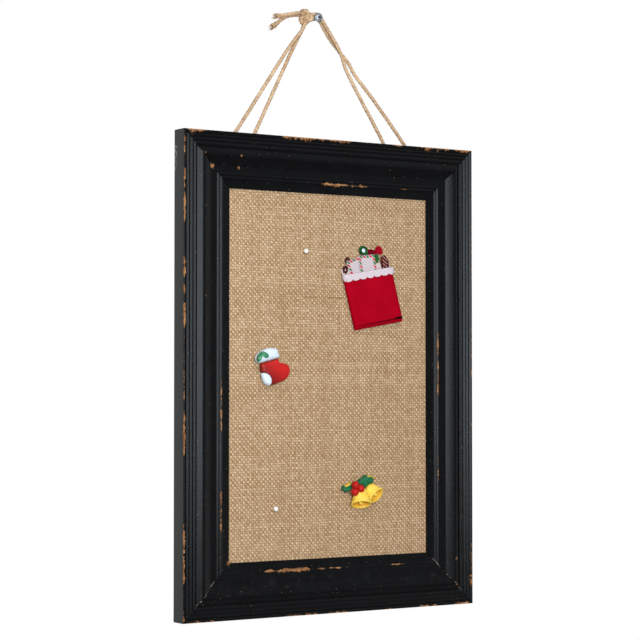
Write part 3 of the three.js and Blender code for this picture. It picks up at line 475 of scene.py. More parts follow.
columns, rows = sheet_lines(flat_x, 50), sheet_lines(flat_z, 76)
vertices, numbers = [], {}
for i, (right, back_x, over_x) in enumerate(columns):
    for j, (above, back_z, over_z) in enumerate(rows):
        if back_x and back_z:
            continue
        waves = math.sin(right * 95 + above * 38) * math.sin(above * 71 - right * 22)
        from_edge = min(flat_x - abs(right), flat_z - abs(above))
        slack = 0 if back_x or back_z else min(1, from_edge / held_flat)
        at_raw_edge = max(over_x, over_z) > 0.999 * turned_over
        fray = raw_edge_fray * math.sin(37 * (i + 1.7 * j)) if at_raw_edge else 0
        numbers[i, j] = len(vertices)
        vertices.append((
            cloth_middle.x + right * (1 - over_z / flat_z) + math.copysign(fray if over_x else 0, right),
            cloth_front + back_x + back_z + ripple_height * (1 + waves) * slack,
            cloth_middle.z + above * (1 - over_x / flat_x) + math.copysign(fray if over_z else 0, above),
        ))
faces = []
for i in range(len(columns) - 1):
    for j in range(len(rows) - 1):
        corners = ((i, j), (i + 1, j), (i + 1, j + 1), (i, j + 1))
        if all(corner in numbers for corner in corners):
            faces.append([numbers[corner] for corner in corners])
cloth_mesh = bpy.data.meshes.new("burlap_sheet")
cloth_mesh.from_pydata(vertices, [], faces)
cloth_mesh.materials.append(burlap)
cloth = bpy.data.objects.new("burlap_sheet", cloth_mesh)
scene.collection.objects.link(cloth)
pick(cloth)
wall = cloth.modifiers.new("wall", "SOLIDIFY")
wall.thickness = cloth_thickness
wall.offset = 0
bpy.ops.object.modifier_apply(modifier="wall")
bpy.ops.object.shade_smooth_by_angle(angle=math.radians(50))
round_edges = edge_radius * (math.pi - 2)
cut_size = [2 * (half + round_edges + cloth_depth + turned_over) for half in (flat_x, flat_z)]
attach(cloth, "board")
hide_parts("burlap_cover")


# The hanging twine: jute of three plies, laid up right-handed. One length goes over the screw and
# round behind the top rail on each side, and its ends are tied in a knot with two frayed tails.
ply_count = 3
ply_radius = 0.00103
ply_offset = 0.00056
lay_length = 0.0115
screw_grip = 0.0033
flattest = 0.72
twine_step = 0.0009


def route_through(points):
    """Close points on one smooth curve through a cord's points, given in millimetres."""
    points = [Vector(point) / 1000 for point in points]
    points = [2 * points[0] - points[1], *points, 2 * points[-1] - points[-2]]
    route = []
    for before, start, end, after in zip(points, points[1:], points[2:], points[3:]):
        spans = [(q - p).length ** 0.5 for p, q in ((before, start), (start, end), (end, after))]
        turn = (end - start) / spans[1]
        leave = (start - before) / spans[0] - (end - before) / (spans[0] + spans[1]) + turn
        arrive = turn - (after - start) / (spans[1] + spans[2]) + (after - end) / spans[2]
        reach = spans[1] / 3
        count = max(3, round((end - start).length / twine_step) + 1)
        route += interpolate_bezier(start, start + leave * reach, end - arrive * reach, end, count)[:-1]
    return [*route, points[-2]]


def carried_frames(route):
    """Two directions square to the route at each of its points, carried along without twist."""
    normal = None
    frames = []
    for i, here in enumerate(route):
        along = (route[min(i + 1, len(route) - 1)] - route[max(i - 1, 0)]).normalized()
        if normal is None:
            normal = along.orthogonal()
        normal = (normal - along * normal.dot(along)).normalized()
        frames.append((normal, along.cross(normal)))
    return frames


def nipped(here):
    """How much of its thickness the twine keeps at a place: it is pressed flat over the screw."""
    away = math.hypot(here.x, here.z)
    return min(1.0, flattest + 0.16 * (away - screw_grip) * 1000)


def round_about(right, up, angle):
    return right * math.cos(angle) + up * math.sin(angle)


fibre_count = 22
fibre_radius = 0.00016
fibre_spray = 0.0011


def lay_twine(name, route, fray=0.0, stout=1.0):
    """A length of three-ply twine along a route; its last stretch, fray, opens into loose plies."""
    sides = 8
    strays = random.Random(name)
    frames = carried_frames(route)
    lengths = [0.0]
    for a, b in zip(route, route[1:]):
        lengths.append(lengths[-1] + (b - a).length)
    loose = [max(0.0, 1 - (lengths[-1] - length) / fray) if fray else 0.0 for length in lengths]
    vertices, faces, marks = [], [], []
    for ply in range(ply_count):
        axis = []
        for i, (here, (right, up)) in enumerate(zip(route, frames)):
            angle = 2 * math.pi * (lengths[i] / lay_length + ply / ply_count)
            spread = ply_offset * stout * nipped(here) * (1 + 1.6 * loose[i])
            axis.append(here + round_about(right, up, angle) * spread)
        first = len(vertices)
        for i, ((right, up), here) in enumerate(zip(carried_frames(axis), axis)):
            swell = nipped(here) + 0.06 * math.sin(lengths[i] * 900 + ply * 2) + 0.2 * loose[i]
            for side in range(sides):
                out = round_about(right, up, 2 * math.pi * side / sides)
                vertices.append(here + out * ply_radius * stout * swell)
        for i in range(len(axis) - 1):
            for side in range(sides):
                after = (side + 1) % sides
                ring, next_ring = first + i * sides, first + (i + 1) * sides
                faces.append((ring + side, ring + after, next_ring + after, next_ring + side))
                v, v_next = lengths[i] * 1000, lengths[i + 1] * 1000
                u, u_next = side / sides + ply * 3, (side + 1) / sides + ply * 3
                marks.append(((u, v), (u_next, v), (u_next, v_next), (u, v_next)))
        faces.append(tuple(first + side for side in reversed(range(sides))))
        marks.append(((0, 0),) * sides)
        last = first + (len(axis) - 1) * sides
        faces.append(tuple(last + side for side in range(sides)))
        marks.append(((0, 0),) * sides)
        heading = (route[-1] - route[-4]).normalized()
        for fibre in range(fibre_count if fray else 0):
            root = vertices[last + fibre % sides].lerp(axis[-1], strays.random() * 0.9)
            spray = Vector((strays.uniform(-1, 1), strays.uniform(-1, 1), strays.uniform(-1, 1)))
            reach = heading * strays.uniform(0.0018, 0.0042) + spray * fibre_spray
            start = len(vertices)
            for share, thick in ((-0.3, 1.0), (0.5, 0.8), (1.0, 0.25)):
                for side in range(3):
                    out = round_about(*frames[-1], 2 * math.pi * side / 3)
                    vertices.append(root + reach * share + out * fibre_radius * thick)
            for ring in (start, start + 3):
                for side in range(3):
                    after = (side + 1) % 3
                    faces.append((ring + side, ring + after, ring + 3 + after, ring + 3 + side))
                    u_next = ply + 0.1
                    marks.append(((ply, fibre), (u_next, fibre), (u_next, fibre + 1), (ply, fibre + 1)))
            faces.append((start + 2, start + 1, start))
            faces.append((start + 6, start + 7, start + 8))
            marks += [((ply, fibre),) * 3] * 2
    mesh = bpy.data.meshes.new(name)
    mesh.from_pydata(vertices, [], faces)
    uv_map = mesh.uv_layers.new(name="along_ply")
    for face, corners in zip(mesh.polygons, marks):
        face.use_smooth = len(corners) == 4
        for loop, corner in zip(face.loop_indices, corners):
            uv_map.data[loop].uv = corner
    piece = bpy.data.objects.new(name, mesh)
    scene.collection.objects.link(piece)
    mesh.materials.append(jute)
    return piece


jute, place = new_finish("twisted_jute")
uv = Tone(jute.node_tree, jute.node_tree.nodes.new("ShaderNodeTexCoord").outputs["UV"])
streaks = uv.noise(1, 3, 0.65, stretch=(11, 0.55, 1))
patches = place.noise(0.07, 2, 0.6)
tone = streaks * 0.75 + patches * 0.35
set_finish(jute, {
    "Base Color": tone.ramp(0.36, 0.72).mix((0.33, 0.186, 0.090, 1), (0.79, 0.59, 0.395, 1)),
    "Roughness": 0.85,
    "Specular IOR Level": 0.2,
    "Normal": streaks.bump(0.8, 0.0005),
})

strand_depth = -14.75
left_route = route_through([
    (-11.4, -7.6, -1.6), (-13.2, -7.6, -8.2), (-30.3, -9.6, -29.0), (-82.5, strand_depth, -99.6),
    (-94.6, strand_depth, -115.0), (-97.6, strand_depth, -120.4),
    (-96.8, strand_depth, -126.0), (-91.8, strand_depth, -129.6),
    (-84.7, strand_depth, -129.2), (-77.7, strand_depth, -124.2),
    (-73.0, strand_depth, -115.0), (-64.8, strand_depth, -99.6), (-24.2, -6.2, -29.2),
    (-11.6, -3.8, -8.2), (-9.8, -3.9, -1.6),
])
right_route = route_through([
    (-9.4, -6.75, 0.9), (-4.6, -6.75, 2.2), (-0.6, -6.75, 3.3), (2.8, -6.75, 2.0), (5.2, -6.75, -1.4),
    (14.3, -6.7, -13.8), (23.1, -6.5, -26.1), (28.7, -6.6, -39.8), (60.6, strand_depth, -99.6),
    (68.8, strand_depth, -115.0), (73.6, strand_depth, -122.0),
    (80.0, strand_depth, -127.6), (88.6, strand_depth, -129.6),
    (96.8, strand_depth, -126.6), (98.8, strand_depth, -120.4),
    (94.4, strand_depth, -115.0), (82.2, strand_depth, -99.9), (70.2, -11.6, -83.0),
    (55.2, -7.8, -63.0), (38.9, -4.3, -43.0), (32.3, -3.6, -33.0),
    (25.5, -2.9, -26.1), (13.4, -3.1, -13.7), (5.0, -3.2, -1.5), (2.8, -3.2, 2.0),
    (-0.6, -3.2, 3.3), (-4.6, -3.2, 2.2), (-9.4, -3.2, 0.9),
])
left_loop = lay_twine("jute_left_loop", left_route)
right_loop = lay_twine("jute_right_loop", right_route)
upper_tail = lay_twine("jute_tail_upper", route_through(
    [(-13.4, -8.2, 1.4), (-18.6, -8.4, 1.9), (-29.8, -8.6, -0.4), (-40.4, -8.6, -3.0)]), fray=0.006)
lower_tail = lay_twine("jute_tail_lower", route_through(
    [(-13.4, -4.3, 0.7), (-18.6, -4.4, 0.8), (-29.4, -4.6, -2.0), (-41.6, -5.2, -10.8)]), fray=0.007)

# The knot's path is a trefoil, and its two ends overlap a little
knot_middle = middle_of("twine_knot")
knot_turn = Matrix.Rotation(-0.5, 3, "Z")
knot_girth = 0.0031
knot_wrap = 0.0021
knot_steps = 150
knot_overlap = 10
wraps = []
for i in range(knot_steps + knot_overlap):
    angle = 2 * math.pi * i / knot_steps + 0.4
    out = knot_girth + knot_wrap * math.cos(3 * angle)
    wrap = Vector((out * math.cos(2 * angle), knot_wrap * math.sin(3 * angle), out * math.sin(2 * angle)))
    wraps.append(knot_middle + knot_turn @ wrap)
knot = lay_twine("jute_knot", wraps, stout=1.3)

for piece, node in (
    (left_loop, "twine_left_loop"), (right_loop, "twine_right_loop"), (upper_tail, "twine_tail_upper"),
    (lower_tail, "twine_tail_lower"), (knot, "twine_knot"),
):
    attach(piece, "board")
    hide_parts(node)


def route_length(route):
    return sum((b - a).length for a, b in zip(route, route[1:]))


route_length(left_route)
route_length(right_route)


# The wall screw: zinc-plated steel with a pan head and a cross recess. The zinc is spangled grey,
# and the inside of the recess is painted near black as painted shade.
zinc, place = new_finish("spangled_zinc")
spangle = place.node("TexVoronoi", {"Vector": place, "Scale": 1.1}, "Color")
spangle = spangle.node("RGBToBW", {"Color": spangle})
x, y, z = (place.part(axis) for axis in "XYZ")
off_axis = x * x + z * z
# Painted shade: the inside of the cross recess is coloured near black.
recess_painted_shade = (y > -10.85) * (y < -8.9) * (off_axis < 4.4)
mottle = (spangle * 0.55 + place.noise(0.9, 3, 0.6) * 0.55).ramp(0.3, 0.8)
bright = mottle.mix((0.08, 0.09, 0.10, 1), (0.38, 0.41, 0.44, 1))
set_finish(zinc, {
    "Base Color": recess_painted_shade.mix(bright, (0.02, 0.02, 0.022, 1)),
    "Metallic": 1,
    "Roughness": spangle * 0.2 + 0.46,
    "Normal": place.noise(1.6, 3).bump(0.25, 0.0002),
})
coat_nodes(zinc, "wall_screw")


# The ball pins: a steel needle in a small glossy white head, pushed into the board to the head. The
# needles of the three moulded pins are of the same steel, each on a flat tack glued behind its pin.
white_head, place = new_finish("white_enamel")
set_finish(white_head, {
    "Base Color": place.noise(0.6, 2).shades((0.80, 0.80, 0.77, 1), (0.88, 0.88, 0.86, 1)),
    "Roughness": 0.22,
    "Coat Weight": 0.4,
})
coat_nodes(white_head, "upper_ball_pin_head", "lower_ball_pin_head")
coat_nodes(steel, "upper_ball_pin_needle", "lower_ball_pin_needle")
coat_nodes(steel, "stocking_tack", "bells_tack", "pouch_tack")


# The stocking pin: polymer clay on a flat tack. The red foot and the white heel patch are one soft
# pillow, the cuff is a fatter roll over its top, and two veined leaves are pressed on the cuff.
def clay(name, low, high, roughness=0.36, specular=0.4, painted_light_slope=None, level=0.0):
    """Satin clay, uneven from the hand, between two colours. Given a slope, the lighter colour is painted
    on up it as painted light and the darker one down it as painted shade.
    """
    material, place = new_finish(name)
    hand = place.noise(0.22, 3, 0.6)
    prints = place.noise(1.7, 3, 0.6, shift=(4, 9, 2))
    tone = hand * 0.8 + prints * 0.2
    if painted_light_slope:
        # Painted light and shade: the colour runs from the darker to the lighter one up the slope.
        height = place.node("VectorMath", {0: place, 1: painted_light_slope}, "Value", operation="DOT_PRODUCT")
        tone = tone * 0.2 + height + (0.4 - level)
    set_finish(material, {
        "Base Color": tone.shades(low, high),
        "Roughness": prints * 0.14 + roughness,
        "Specular IOR Level": specular,
        "Normal": (hand + prints * 0.12).bump(0.3, 0.0005),
    })
    return material


def fitted(piece, node, body, finish):
    """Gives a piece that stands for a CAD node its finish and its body."""
    piece.data.materials.clear()
    piece.data.materials.append(finish)
    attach(piece, body)
    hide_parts(node)
    return piece


corner_gap = 0.000005


def moulded(name, node, voxel, rounds):
    """A copy of a CAD node with a fine even skin and its arrises rounded off."""
    piece = bpy.data.objects.new(name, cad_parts[node].data.copy())
    scene.collection.objects.link(piece)
    pick(piece)
    bpy.ops.object.mode_set(mode="EDIT")
    bpy.ops.mesh.select_all(action="SELECT")
    bpy.ops.mesh.remove_doubles(threshold=corner_gap)
    bpy.ops.object.mode_set(mode="OBJECT")
    skin = piece.modifiers.new("skin", "REMESH")
    skin.mode = "VOXEL"
    skin.voxel_size = voxel
    bpy.ops.object.modifier_apply(modifier="skin")
    soften(piece, rounds)
    return piece


def soften(piece, rounds):
    pick(piece)
    smoothing = piece.modifiers.new("soften", "SMOOTH")
    smoothing.iterations = rounds
    bpy.ops.object.modifier_apply(modifier="soften")
    bpy.ops.object.shade_smooth()


def skin_of(piece):
    return BVHTree.FromPolygons(
        [vertex.co for vertex in piece.data.vertices], [face.vertices for face in piece.data.polygons])


toward_wall = Vector((0, 1, 0))
before_board = -0.2
clear_of_rim = 0.0008


def crown(pieces, reach, lowest):
    """Rounds the fronts of pieces down towards the outline that they share."""
    skins = [skin_of(piece) for piece in pieces]
    rim = []
    for piece in pieces:
        for vertex in piece.data.vertices:
            outward = Vector((vertex.normal.x, 0, vertex.normal.z))
            if outward.length < 0.7:
                continue
            beside = vertex.co + outward.normalized() * clear_of_rim
            beside.y = before_board
            if all(skin.ray_cast(beside, toward_wall)[0] is None for skin in skins):
                rim.append((vertex.co.x, 0, vertex.co.z))
    outline = KDTree(len(rim))
    for i, place in enumerate(rim):
        outline.insert(place, i)
    outline.balance()
    for piece in pieces:
        back = max(vertex.co.y for vertex in piece.data.vertices)
        for vertex in piece.data.vertices:
            share = min(outline.find((vertex.co.x, 0, vertex.co.z))[2] / reach, 1)
            height = lowest + (1 - lowest) * math.sqrt(1 - (1 - share) ** 2)
            vertex.co.y = back + (vertex.co.y - back) * height


stocking = middle_of("stocking_tack")
# Painted shade on the foot: its red darkens towards the bottom and the left and lightens towards the
# upper right.
foot_painted_light_slope = Vector((0.0135, 0, 0.016))
red_clay = clay(
    "red_clay", (0.12, 0.003, 0.002, 1), (0.49, 0.011, 0.010, 1), 0.42, 0.25,
    foot_painted_light_slope, foot_painted_light_slope.dot(stocking * 1000 + Vector((0, 0, -6.8))),
)
white_clay = clay("white_clay", (0.62, 0.74, 0.87, 1), (0.69, 0.80, 0.92, 1), 0.42)
foot = moulded("clay_stocking_foot", "stocking_body", 0.0004, 6)
heel = moulded("clay_stocking_heel", "stocking_heel", 0.0003, 4)
cuff = moulded("clay_stocking_cuff", "stocking_cuff", 0.0004, 8)
crown([foot, heel], 0.0095, 0.62)
crown([cuff], 0.0058, 0.6)
heel_middle = stocking + Vector((-0.0104, 0, -0.012))
groove_radius = 0.0060
groove_depth = 0.00028
groove_width = 0.0003
for vertex in heel.data.vertices:
    away = math.hypot(vertex.co.x - heel_middle.x, vertex.co.z - heel_middle.z) - groove_radius
    if vertex.normal.y < -0.3:
        vertex.co.y += groove_depth * math.exp(-(away / groove_width) ** 2)
soften(foot, 10)
soften(heel, 2)
soften(cuff, 14)
fitted(foot, "stocking_body", "stocking_pin", red_clay)
fitted(heel, "stocking_heel", "stocking_pin", white_clay)
fitted(cuff, "stocking_cuff", "stocking_pin", white_clay)


midrib_width = 0.0004


def vein(piece, middle, turn, depth, pitch):
    """Presses a midrib and slanting side veins into a leaf's front, about its own long axis."""
    for vertex in piece.data.vertices:
        if vertex.normal.y > -0.25:
            continue
        right, up = vertex.co.x - middle.x, vertex.co.z - middle.z
        along = right * math.cos(turn) - up * math.sin(turn)
        across = right * math.sin(turn) + up * math.cos(turn)
        side = math.cos(2 * math.pi * (along - 0.8 * abs(across)) / pitch)
        midrib = math.exp(-(across / midrib_width) ** 2)
        vertex.co.y += depth * max(midrib, 0.55 * max(side, 0) ** 5)


def regrow(piece, middle, moved, grown):
    """Stretches a piece about its middle and moves it, both right and up."""
    for vertex in piece.data.vertices:
        vertex.co.x = middle.x + moved[0] + (vertex.co.x - middle.x) * grown[0]
        vertex.co.z = middle.z + moved[1] + (vertex.co.z - middle.z) * grown[1]


leaf_green = clay("leaf_green_clay", (0.010, 0.155, 0.062, 1), (0.022, 0.25, 0.105, 1), 0.26, 0.5)
cuff_skin = skin_of(cuff)
leaf_growth = 1.14
for side, place, turn, shift in (
    ("left", (-0.0131, 0.0076), 0.3 + math.pi / 2, -0.0018),
    ("right", (-0.0077, 0.0095), 0.55, -0.0024),
):
    node = "stocking_leaf_" + side
    leaf = moulded("clay_stocking_leaf_" + side, node, 0.00014, 6)
    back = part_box(node)[1].y
    middle = stocking + Vector((place[0], 0, place[1]))
    regrow(leaf, middle, (shift, 0), (leaf_growth, leaf_growth))
    for vertex in leaf.data.vertices:
        hit = cuff_skin.ray_cast(Vector((vertex.co.x, before_board, vertex.co.z)), toward_wall)[0]
        if hit is not None:
            vertex.co.y += hit.y - back
    vein(leaf, middle + Vector((shift, 0, 0)), turn, 0.00026, 0.0019)
    soften(leaf, 2)
    fitted(leaf, node, "stocking_pin", leaf_green)


# The bells pin: two fat bells moulded against each other, with clappers in their mouths, three
# berries and two holly leaves above. All are clay, and the leaves have gold paint on their rims.
bells = middle_of("bells_tack")
yellow_clay, place = new_finish("yellow_clay")
# Painted shade: the insides of the bells' mouths are painted a darker orange.
painted_hollow_shade = place.node("Attribute", {}, "Fac", attribute_name="painted_hollow_shade")
hand = place.noise(0.22, 3, 0.6)
prints = place.noise(1.7, 3, 0.6, shift=(4, 9, 2))
outside = hand.shades((0.86, 0.60, 0.070, 1), (0.93, 0.69, 0.115, 1))
set_finish(yellow_clay, {
    "Base Color": painted_hollow_shade.mix(outside, (0.76, 0.40, 0.03, 1)),
    "Roughness": prints * 0.14 + 0.36,
    "Specular IOR Level": 0.3,
    "Normal": (hand + prints * 0.12).bump(0.3, 0.0005),
})
flattening = 0.7
cavity_profile = ((0.0, 7.2), (3.0, 5.5), (4.5, 3.6), (5.0, 0.0))


def cavity_radius(height):
    for (low, wide), (high, narrow) in zip(cavity_profile, cavity_profile[1:]):
        if height <= high:
            return wide + (narrow - wide) * (height - low) / (high - low)
    return -9.0


def swell(piece, amount):
    """Fattens a piece by that much all round."""
    moves = [vertex.normal * amount for vertex in piece.data.vertices]
    for vertex, move in zip(piece.data.vertices, moves):
        vertex.co += move


for side, mouth, heading, lean, size in (
    ("left", (-4.3, -31.79, -10.0), 0.13, 0.38, 1.09),
    ("right", (10.8, -32.29, -3.3), -0.56, 0.76, 0.92),
):
    bell = moulded("clay_bell_" + side, "bell_" + side, 0.0002, 9)
    clapper = moulded("clay_bell_" + side + "_clapper", f"bell_{side}_clapper", 0.00016, 8)
    level = math.cos(lean)
    axis = Vector((level * math.sin(heading), math.sin(lean), level * math.cos(heading)))
    middle = Vector((bells.x * 1000 + mouth[0], mouth[1], bells.z * 1000 + mouth[2]))
    # How deep each vertex lies in the bell's mouth, which sets its painted shade.
    painted_shade_depths = []
    for vertex in bell.data.vertices:
        out = vertex.co * 1000 - middle
        out.y /= flattening
        height = out.dot(axis) / size
        away = (out - axis * out.dot(axis)).length / size
        inside = (cavity_radius(max(height, 0)) + 0.55 - away) / 0.5
        painted_shade_depths.append(min(max(inside, 0), 1) * min(max((height - 0.1) / 0.8, 0), 1))
    bell.data.attributes.new("painted_hollow_shade", "FLOAT", "POINT").data.foreach_set("value", painted_shade_depths)
    swell(bell, 0.0003)
    fitted(bell, "bell_" + side, "bells_pin", yellow_clay)
    fitted(clapper, f"bell_{side}_clapper", "bells_pin", yellow_clay)

berry_red = clay("berry_red_clay", (0.38, 0.007, 0.006, 1), (0.48, 0.012, 0.009, 1), 0.45, 0.2)
for i in (1, 2, 3):
    berry = moulded(f"clay_berry_{i}", f"berry_{i}", 0.00025, 14)
    swell(berry, 0.00065)
    fitted(berry, f"berry_{i}", "bells_pin", berry_red)

holly_green, place = new_finish("gilded_green_clay")
gilt = place.node("Attribute", {}, "Fac", attribute_name="gilt")
hand = place.noise(0.3, 3, 0.6)
green = hand.shades((0.004, 0.092, 0.036, 1), (0.012, 0.165, 0.068, 1))
set_finish(holly_green, {
    "Base Color": (gilt + hand * 0.3).ramp(0.45, 0.62).mix(green, (0.78, 0.50, 0.03, 1)),
    "Roughness": place.noise(1.7, 2) * 0.14 + 0.3,
    "Specular IOR Level": 0.22,
    "Normal": hand.bump(0.3, 0.0005),
})
for side, base, turn, brushed in (
    ("left", (-9.5, 5.5), 2.847, (0.3, 0, 0.95)), ("right", (-5.5, 7.2), -0.265, (0.8, 0, 0.6)),
):
    leaf = moulded("clay_holly_leaf_" + side, "holly_leaf_" + side, 0.0002, 6)
    crown([leaf], 0.0026, 0.6)
    soften(leaf, 3)
    gilding = [max(0.0, vertex.normal.dot(Vector(brushed))) for vertex in leaf.data.vertices]
    leaf.data.attributes.new("gilt", "FLOAT", "POINT").data.foreach_set("value", gilding)
    vein(leaf, bells + Vector((base[0], 0, base[1])) / 1000, turn, 0.00055, 0.0026)
    soften(leaf, 1)
    fitted(leaf, "holly_leaf_" + side, "bells_pin", holly_green)


# The letter pouch pin: a stiff red felt pocket, lined white, with a scalloped white trim glued round
# its mouth. Letters with striped edges and small tokens stand in it, and it is glued on a tack.
pouch = middle_of("pouch_tack")
pouch_back = -0.0264
pouch_tilt = 0.171
pouch_lean = 0.093
mouth_height = 23.0
hem_top = -20.0


def pouch_place(across, depth, up):
    """A place in space from one on the pouch, in millimetres: across, out from its back, up."""
    level = across - pouch_lean * up
    right = level * math.cos(pouch_tilt) - up * math.sin(pouch_tilt)
    above = level * math.sin(pouch_tilt) + up * math.cos(pouch_tilt)
    return Vector((pouch.x + right / 1000, pouch_back - depth / 1000, pouch.z + above / 1000))


def on_pouch(place):
    """The two coordinates of pouch_place over the surface, across and up."""
    right = place.part("X") - pouch.x * 1000
    above = place.part("Z") - pouch.z * 1000
    up = above * math.cos(pouch_tilt) - right * math.sin(pouch_tilt)
    return right * math.cos(pouch_tilt) + above * math.sin(pouch_tilt) + up * pouch_lean, up


felt, place = new_finish("red_felt")
across, up = on_pouch(place)
matted = place.noise(1.4, 4, 0.7)
broad = place.noise(0.06, 2, 0.5)
uneven = (matted * 0.5 + broad * 0.5).ramp(0.3, 0.7)
red = uneven.mix((0.31, 0.0005, 0.009, 1), (0.405, 0.0010, 0.014, 1))
# Painted shadow: a dark line along the hem's crease, wider towards the right; the crease also dents the
# bump.
crease_and_painted_shadow = (abs(up - hem_top - 0.3) - across * 0.012).ramp(0.75, 0.2)
# Painted shade: the open end of the bottom fold, at the right, is painted near black.
painted_opening_shade = (across - 16).least(hem_top + 1.9 - up).least(up - hem_top + 0.4).ramp(0, 0.3)
lining = up.ramp(mouth_height - 0.15, mouth_height + 0.05)
# The white lining inside the pocket is painted greyish pink, as painted shade.
lining_with_painted_shade = matted.shades((0.53, 0.45, 0.45, 1), (0.64, 0.56, 0.57, 1))
red_with_painted_shade = (crease_and_painted_shadow * 0.75).most(painted_opening_shade).mix(red, (0.012, 0.001, 0.002, 1))
set_finish(felt, {
    "Base Color": lining.mix(red_with_painted_shade, lining_with_painted_shade),
    "Roughness": 0.9,
    "Specular IOR Level": 0.03,
    "Normal": (matted - crease_and_painted_shadow * 0.8).bump(0.5, 0.00035),
})
pocket = moulded("felt_pouch_pocket", "pouch_pocket", 0.00045, 2)
fitted(pocket, "pouch_pocket", "pouch_pin", felt)

white_felt, place = new_finish("white_felt")
fluff = place.noise(1.2, 4, 0.7)
set_finish(white_felt, {
    "Base Color": fluff.shades((0.58, 0.51, 0.56, 1), (0.71, 0.64, 0.70, 1)),
    "Roughness": 0.85,
    "Specular IOR Level": 0.15,
    "Normal": fluff.bump(0.8, 0.0005),
})
trim = moulded("felt_pouch_trim", "pouch_trim", 0.0002, 4)
crown([pocket, trim], 0.0042, 0.4)
fitted(trim, "pouch_trim", "pouch_pin", white_felt)

stripe_run = 6.2
stripe_width = 2.4
envelope_top = 10.85
for side, middle, turn, half_width in (
    ("left", (-9.5, 23.85), -0.2, 7),
    ("right", (1, 25.15), 0.05, 8),
):
    striped, place = new_finish("striped_paper_" + side)
    across, up = on_pouch(place)
    along_x, along_z = across - middle[0], up - middle[1]
    wide = along_x * math.cos(turn) - along_z * math.sin(turn)
    high = along_x * math.sin(turn) + along_z * math.cos(turn)
    from_edge = (half_width - abs(wide)).least(envelope_top - high)
    beat = ((wide + high) / stripe_run).math("FRACT")
    in_border = from_edge.ramp(stripe_width, stripe_width - 0.3) * from_edge.ramp(0.1, 0.3)
    red_dash = beat.ramp(0.0, 0.04) * beat.ramp(0.38, 0.34) * in_border
    green_dash = beat.ramp(0.5, 0.54) * beat.ramp(0.88, 0.84) * in_border
    tooth = place.noise(0.9, 3, 0.6)
    sheet = tooth.shades((0.51, 0.455, 0.49, 1), (0.58, 0.525, 0.56, 1))
    sheet = red_dash.mix(sheet, (0.56, 0.006, 0.02, 1))
    set_finish(striped, {
        "Base Color": green_dash.mix(sheet, (0.004, 0.14, 0.03, 1)),
        "Roughness": 0.62,
        "Specular IOR Level": 0.25,
        "Normal": tooth.bump(0.2, 0.0003),
    })
    envelope = moulded("paper_envelope_" + side, "envelope_" + side, 0.00016, 1)
    fitted(envelope, "envelope_" + side, "pouch_pin", striped)

wreath_green = clay("wreath_green_clay", (0.002, 0.036, 0.009, 1), (0.012, 0.115, 0.024, 1), 0.4, 0.1)
wreath = moulded("clay_wreath", "letter_wreath", 0.00014, 4)
ring_middle = pouch_place(0.6, 1.6, 39.9)
ruffle_depth = 0.0003
ruffle_lift = 0.0002
for vertex in wreath.data.vertices:
    right, above = vertex.co.x - ring_middle.x, vertex.co.z - ring_middle.z
    ruffle = math.cos(8 * math.atan2(above, right) + 2200 * math.hypot(right, above))
    if vertex.normal.y < -0.2:
        vertex.co.y -= ruffle_depth * ruffle + ruffle_lift
soften(wreath, 2)
fitted(wreath, "letter_wreath", "pouch_pin", wreath_green)


def token(name, middle, stretch, finish):
    """Presses the primitive just added into shape, and fixes it to the pouch."""
    bpy.ops.object.transform_apply(location=True, rotation=True, scale=True)
    bpy.ops.object.mode_set(mode="EDIT")
    bpy.ops.transform.resize(value=stretch, center_override=middle)
    bpy.ops.object.mode_set(mode="OBJECT")
    bpy.ops.object.shade_smooth()
    piece = bpy.context.object
    piece.name = name
    piece.data.materials.append(finish)
    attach(piece, "pouch_pin")


bpy.ops.object.select_all(action="DESELECT")
bpy.ops.mesh.primitive_uv_sphere_add(segments=24, ring_count=14, radius=0.0019, location=ring_middle)
token("clay_wreath_pearl", ring_middle, (1, 0.6, 1), white_clay)

bow_middle = middle_of("letter_bow")
bow_red, place = new_finish("bow_red_clay")
aside = place.part("X") - bow_middle.x * 1000
folds = place.noise(0.5, 3, 0.6)
lit = (aside + folds * 6).ramp(-1.5, 5.5)
set_finish(bow_red, {
    "Base Color": lit.mix((0.115, 0.001, 0.005, 1), (0.30, 0.001, 0.013, 1)),
    "Roughness": folds * 0.2 + 0.35,
    "Specular IOR Level": 0.06,
    "Normal": folds.bump(0.5, 0.0006),
})
bow = moulded("clay_bow", "letter_bow", 0.00014, 4)
regrow(bow, bow_middle, (-0.0012, -0.0006), (1.3, 1.15))
fitted(bow, "letter_bow", "pouch_pin", bow_red)
sprig = moulded("clay_sprig", "letter_holly", 0.00014, 4)
regrow(sprig, middle_of("letter_holly"), (-0.0008, 0.0016), (1.2, 1.2))
vein(sprig, pouch_place(11.3, 0, 30.4), -0.9, 0.0003, 0.0019)
soften(sprig, 1)
fitted(sprig, "letter_holly", "pouch_pin", wreath_green)

brown_clay, place = new_finish("iced_brown_clay")
biscuit_middle = middle_of("letter_biscuit") * 1000
right = place.part("X") - biscuit_middle.x
above = place.part("Z") - biscuit_middle.z
band_pitch = 2.9
band = ((above + right * 0.7) / band_pitch).math("FRACT")
crumb = place.noise(0.8, 3, 0.6)
icing = abs(band - 0.5).ramp(0.2, 0.12) * (abs(right) < 2.4) * crumb.ramp(0.25, 0.45)
brown = crumb.shades((0.018, 0.003, 0.003, 1), (0.085, 0.010, 0.012, 1))
set_finish(brown_clay, {
    "Base Color": icing.mix(brown, (0.42, 0.22, 0.18, 1)),
    "Roughness": crumb * 0.2 + 0.35,
    "Specular IOR Level": 0.08,
    "Normal": (crumb + icing * 0.6).bump(0.4, 0.0003),
})
biscuit = moulded("clay_biscuit", "letter_biscuit", 0.00014, 4)
fitted(biscuit, "letter_biscuit", "pouch_pin", brown_clay)

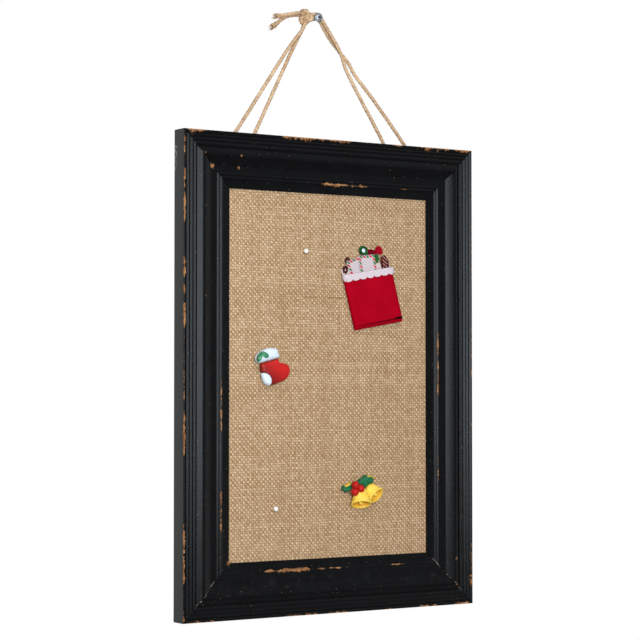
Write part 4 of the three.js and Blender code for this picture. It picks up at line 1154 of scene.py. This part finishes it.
twist_thickness = 0.00085
for name, across, depth, up, width, length in (
    ("clay_twist_low", -21.0, 1.7, 27.0, 0.0017, 1.25),
    ("clay_twist_high", -16.4, 0.75, 34.0, 0.0016, 1.2),
):
    middle = pouch_place(across, depth, up)
    bpy.ops.object.select_all(action="DESELECT")
    bpy.ops.mesh.primitive_torus_add(
        major_segments=32, minor_segments=12, major_radius=width, minor_radius=twist_thickness,
        location=middle, rotation=(math.pi / 2, 0, 0),
    )
    token(name, middle, (1, 0.8, length), brown_clay)


# The floor and the surroundings: a pale, matt, plain floor, far enough below that the board hangs
# clear of it, and white all round. Both show bright in the picture and in the paint, and light the
# board only a little.
floor_drop = 1.2
floor_glow = 0.45
fill_strength = 0.1
pure_white = (1, 1, 1, 1)


def seen_rays(tree):
    """1 for a ray that shows in the picture or in a mirror, and 0 for one that only lights a surface."""
    rays = tree.nodes.new("ShaderNodeLightPath").outputs
    kinds = ("Is Camera Ray", "Is Glossy Ray", "Is Transmission Ray")
    direct, mirrored, through = (Tone(tree, rays[kind]) for kind in kinds)
    return direct.most(mirrored).most(through)


bpy.ops.object.select_all(action="DESELECT")
bpy.ops.mesh.primitive_plane_add(size=10, location=(0, 0, cad_box[0].z - floor_drop))
floor = bpy.context.object
floor.name = "floor"
pale_floor = bpy.data.materials.new("pale_floor")
pale_floor.use_nodes = True
set_finish(pale_floor, {
    "Base Color": (0.82, 0.82, 0.82, 1),
    "Roughness": 0.9,
    "Emission Color": pure_white,
    "Emission Strength": seen_rays(pale_floor.node_tree) * floor_glow,
})
floor.data.materials.append(pale_floor)

world = bpy.data.worlds.new("white_surroundings")
world.use_nodes = True
scene.world = world
seen = seen_rays(world.node_tree)
fill = seen.node("Background", {"Color": pure_white, "Strength": fill_strength})
backdrop = seen.node("Background", {"Color": pure_white, "Strength": 1})
surroundings = seen.node("MixShader", {0: seen, 1: fill, 2: backdrop})
world_output = world.node_tree.nodes["World Output"]
world.node_tree.links.new(surroundings.socket, world_output.inputs["Surface"])
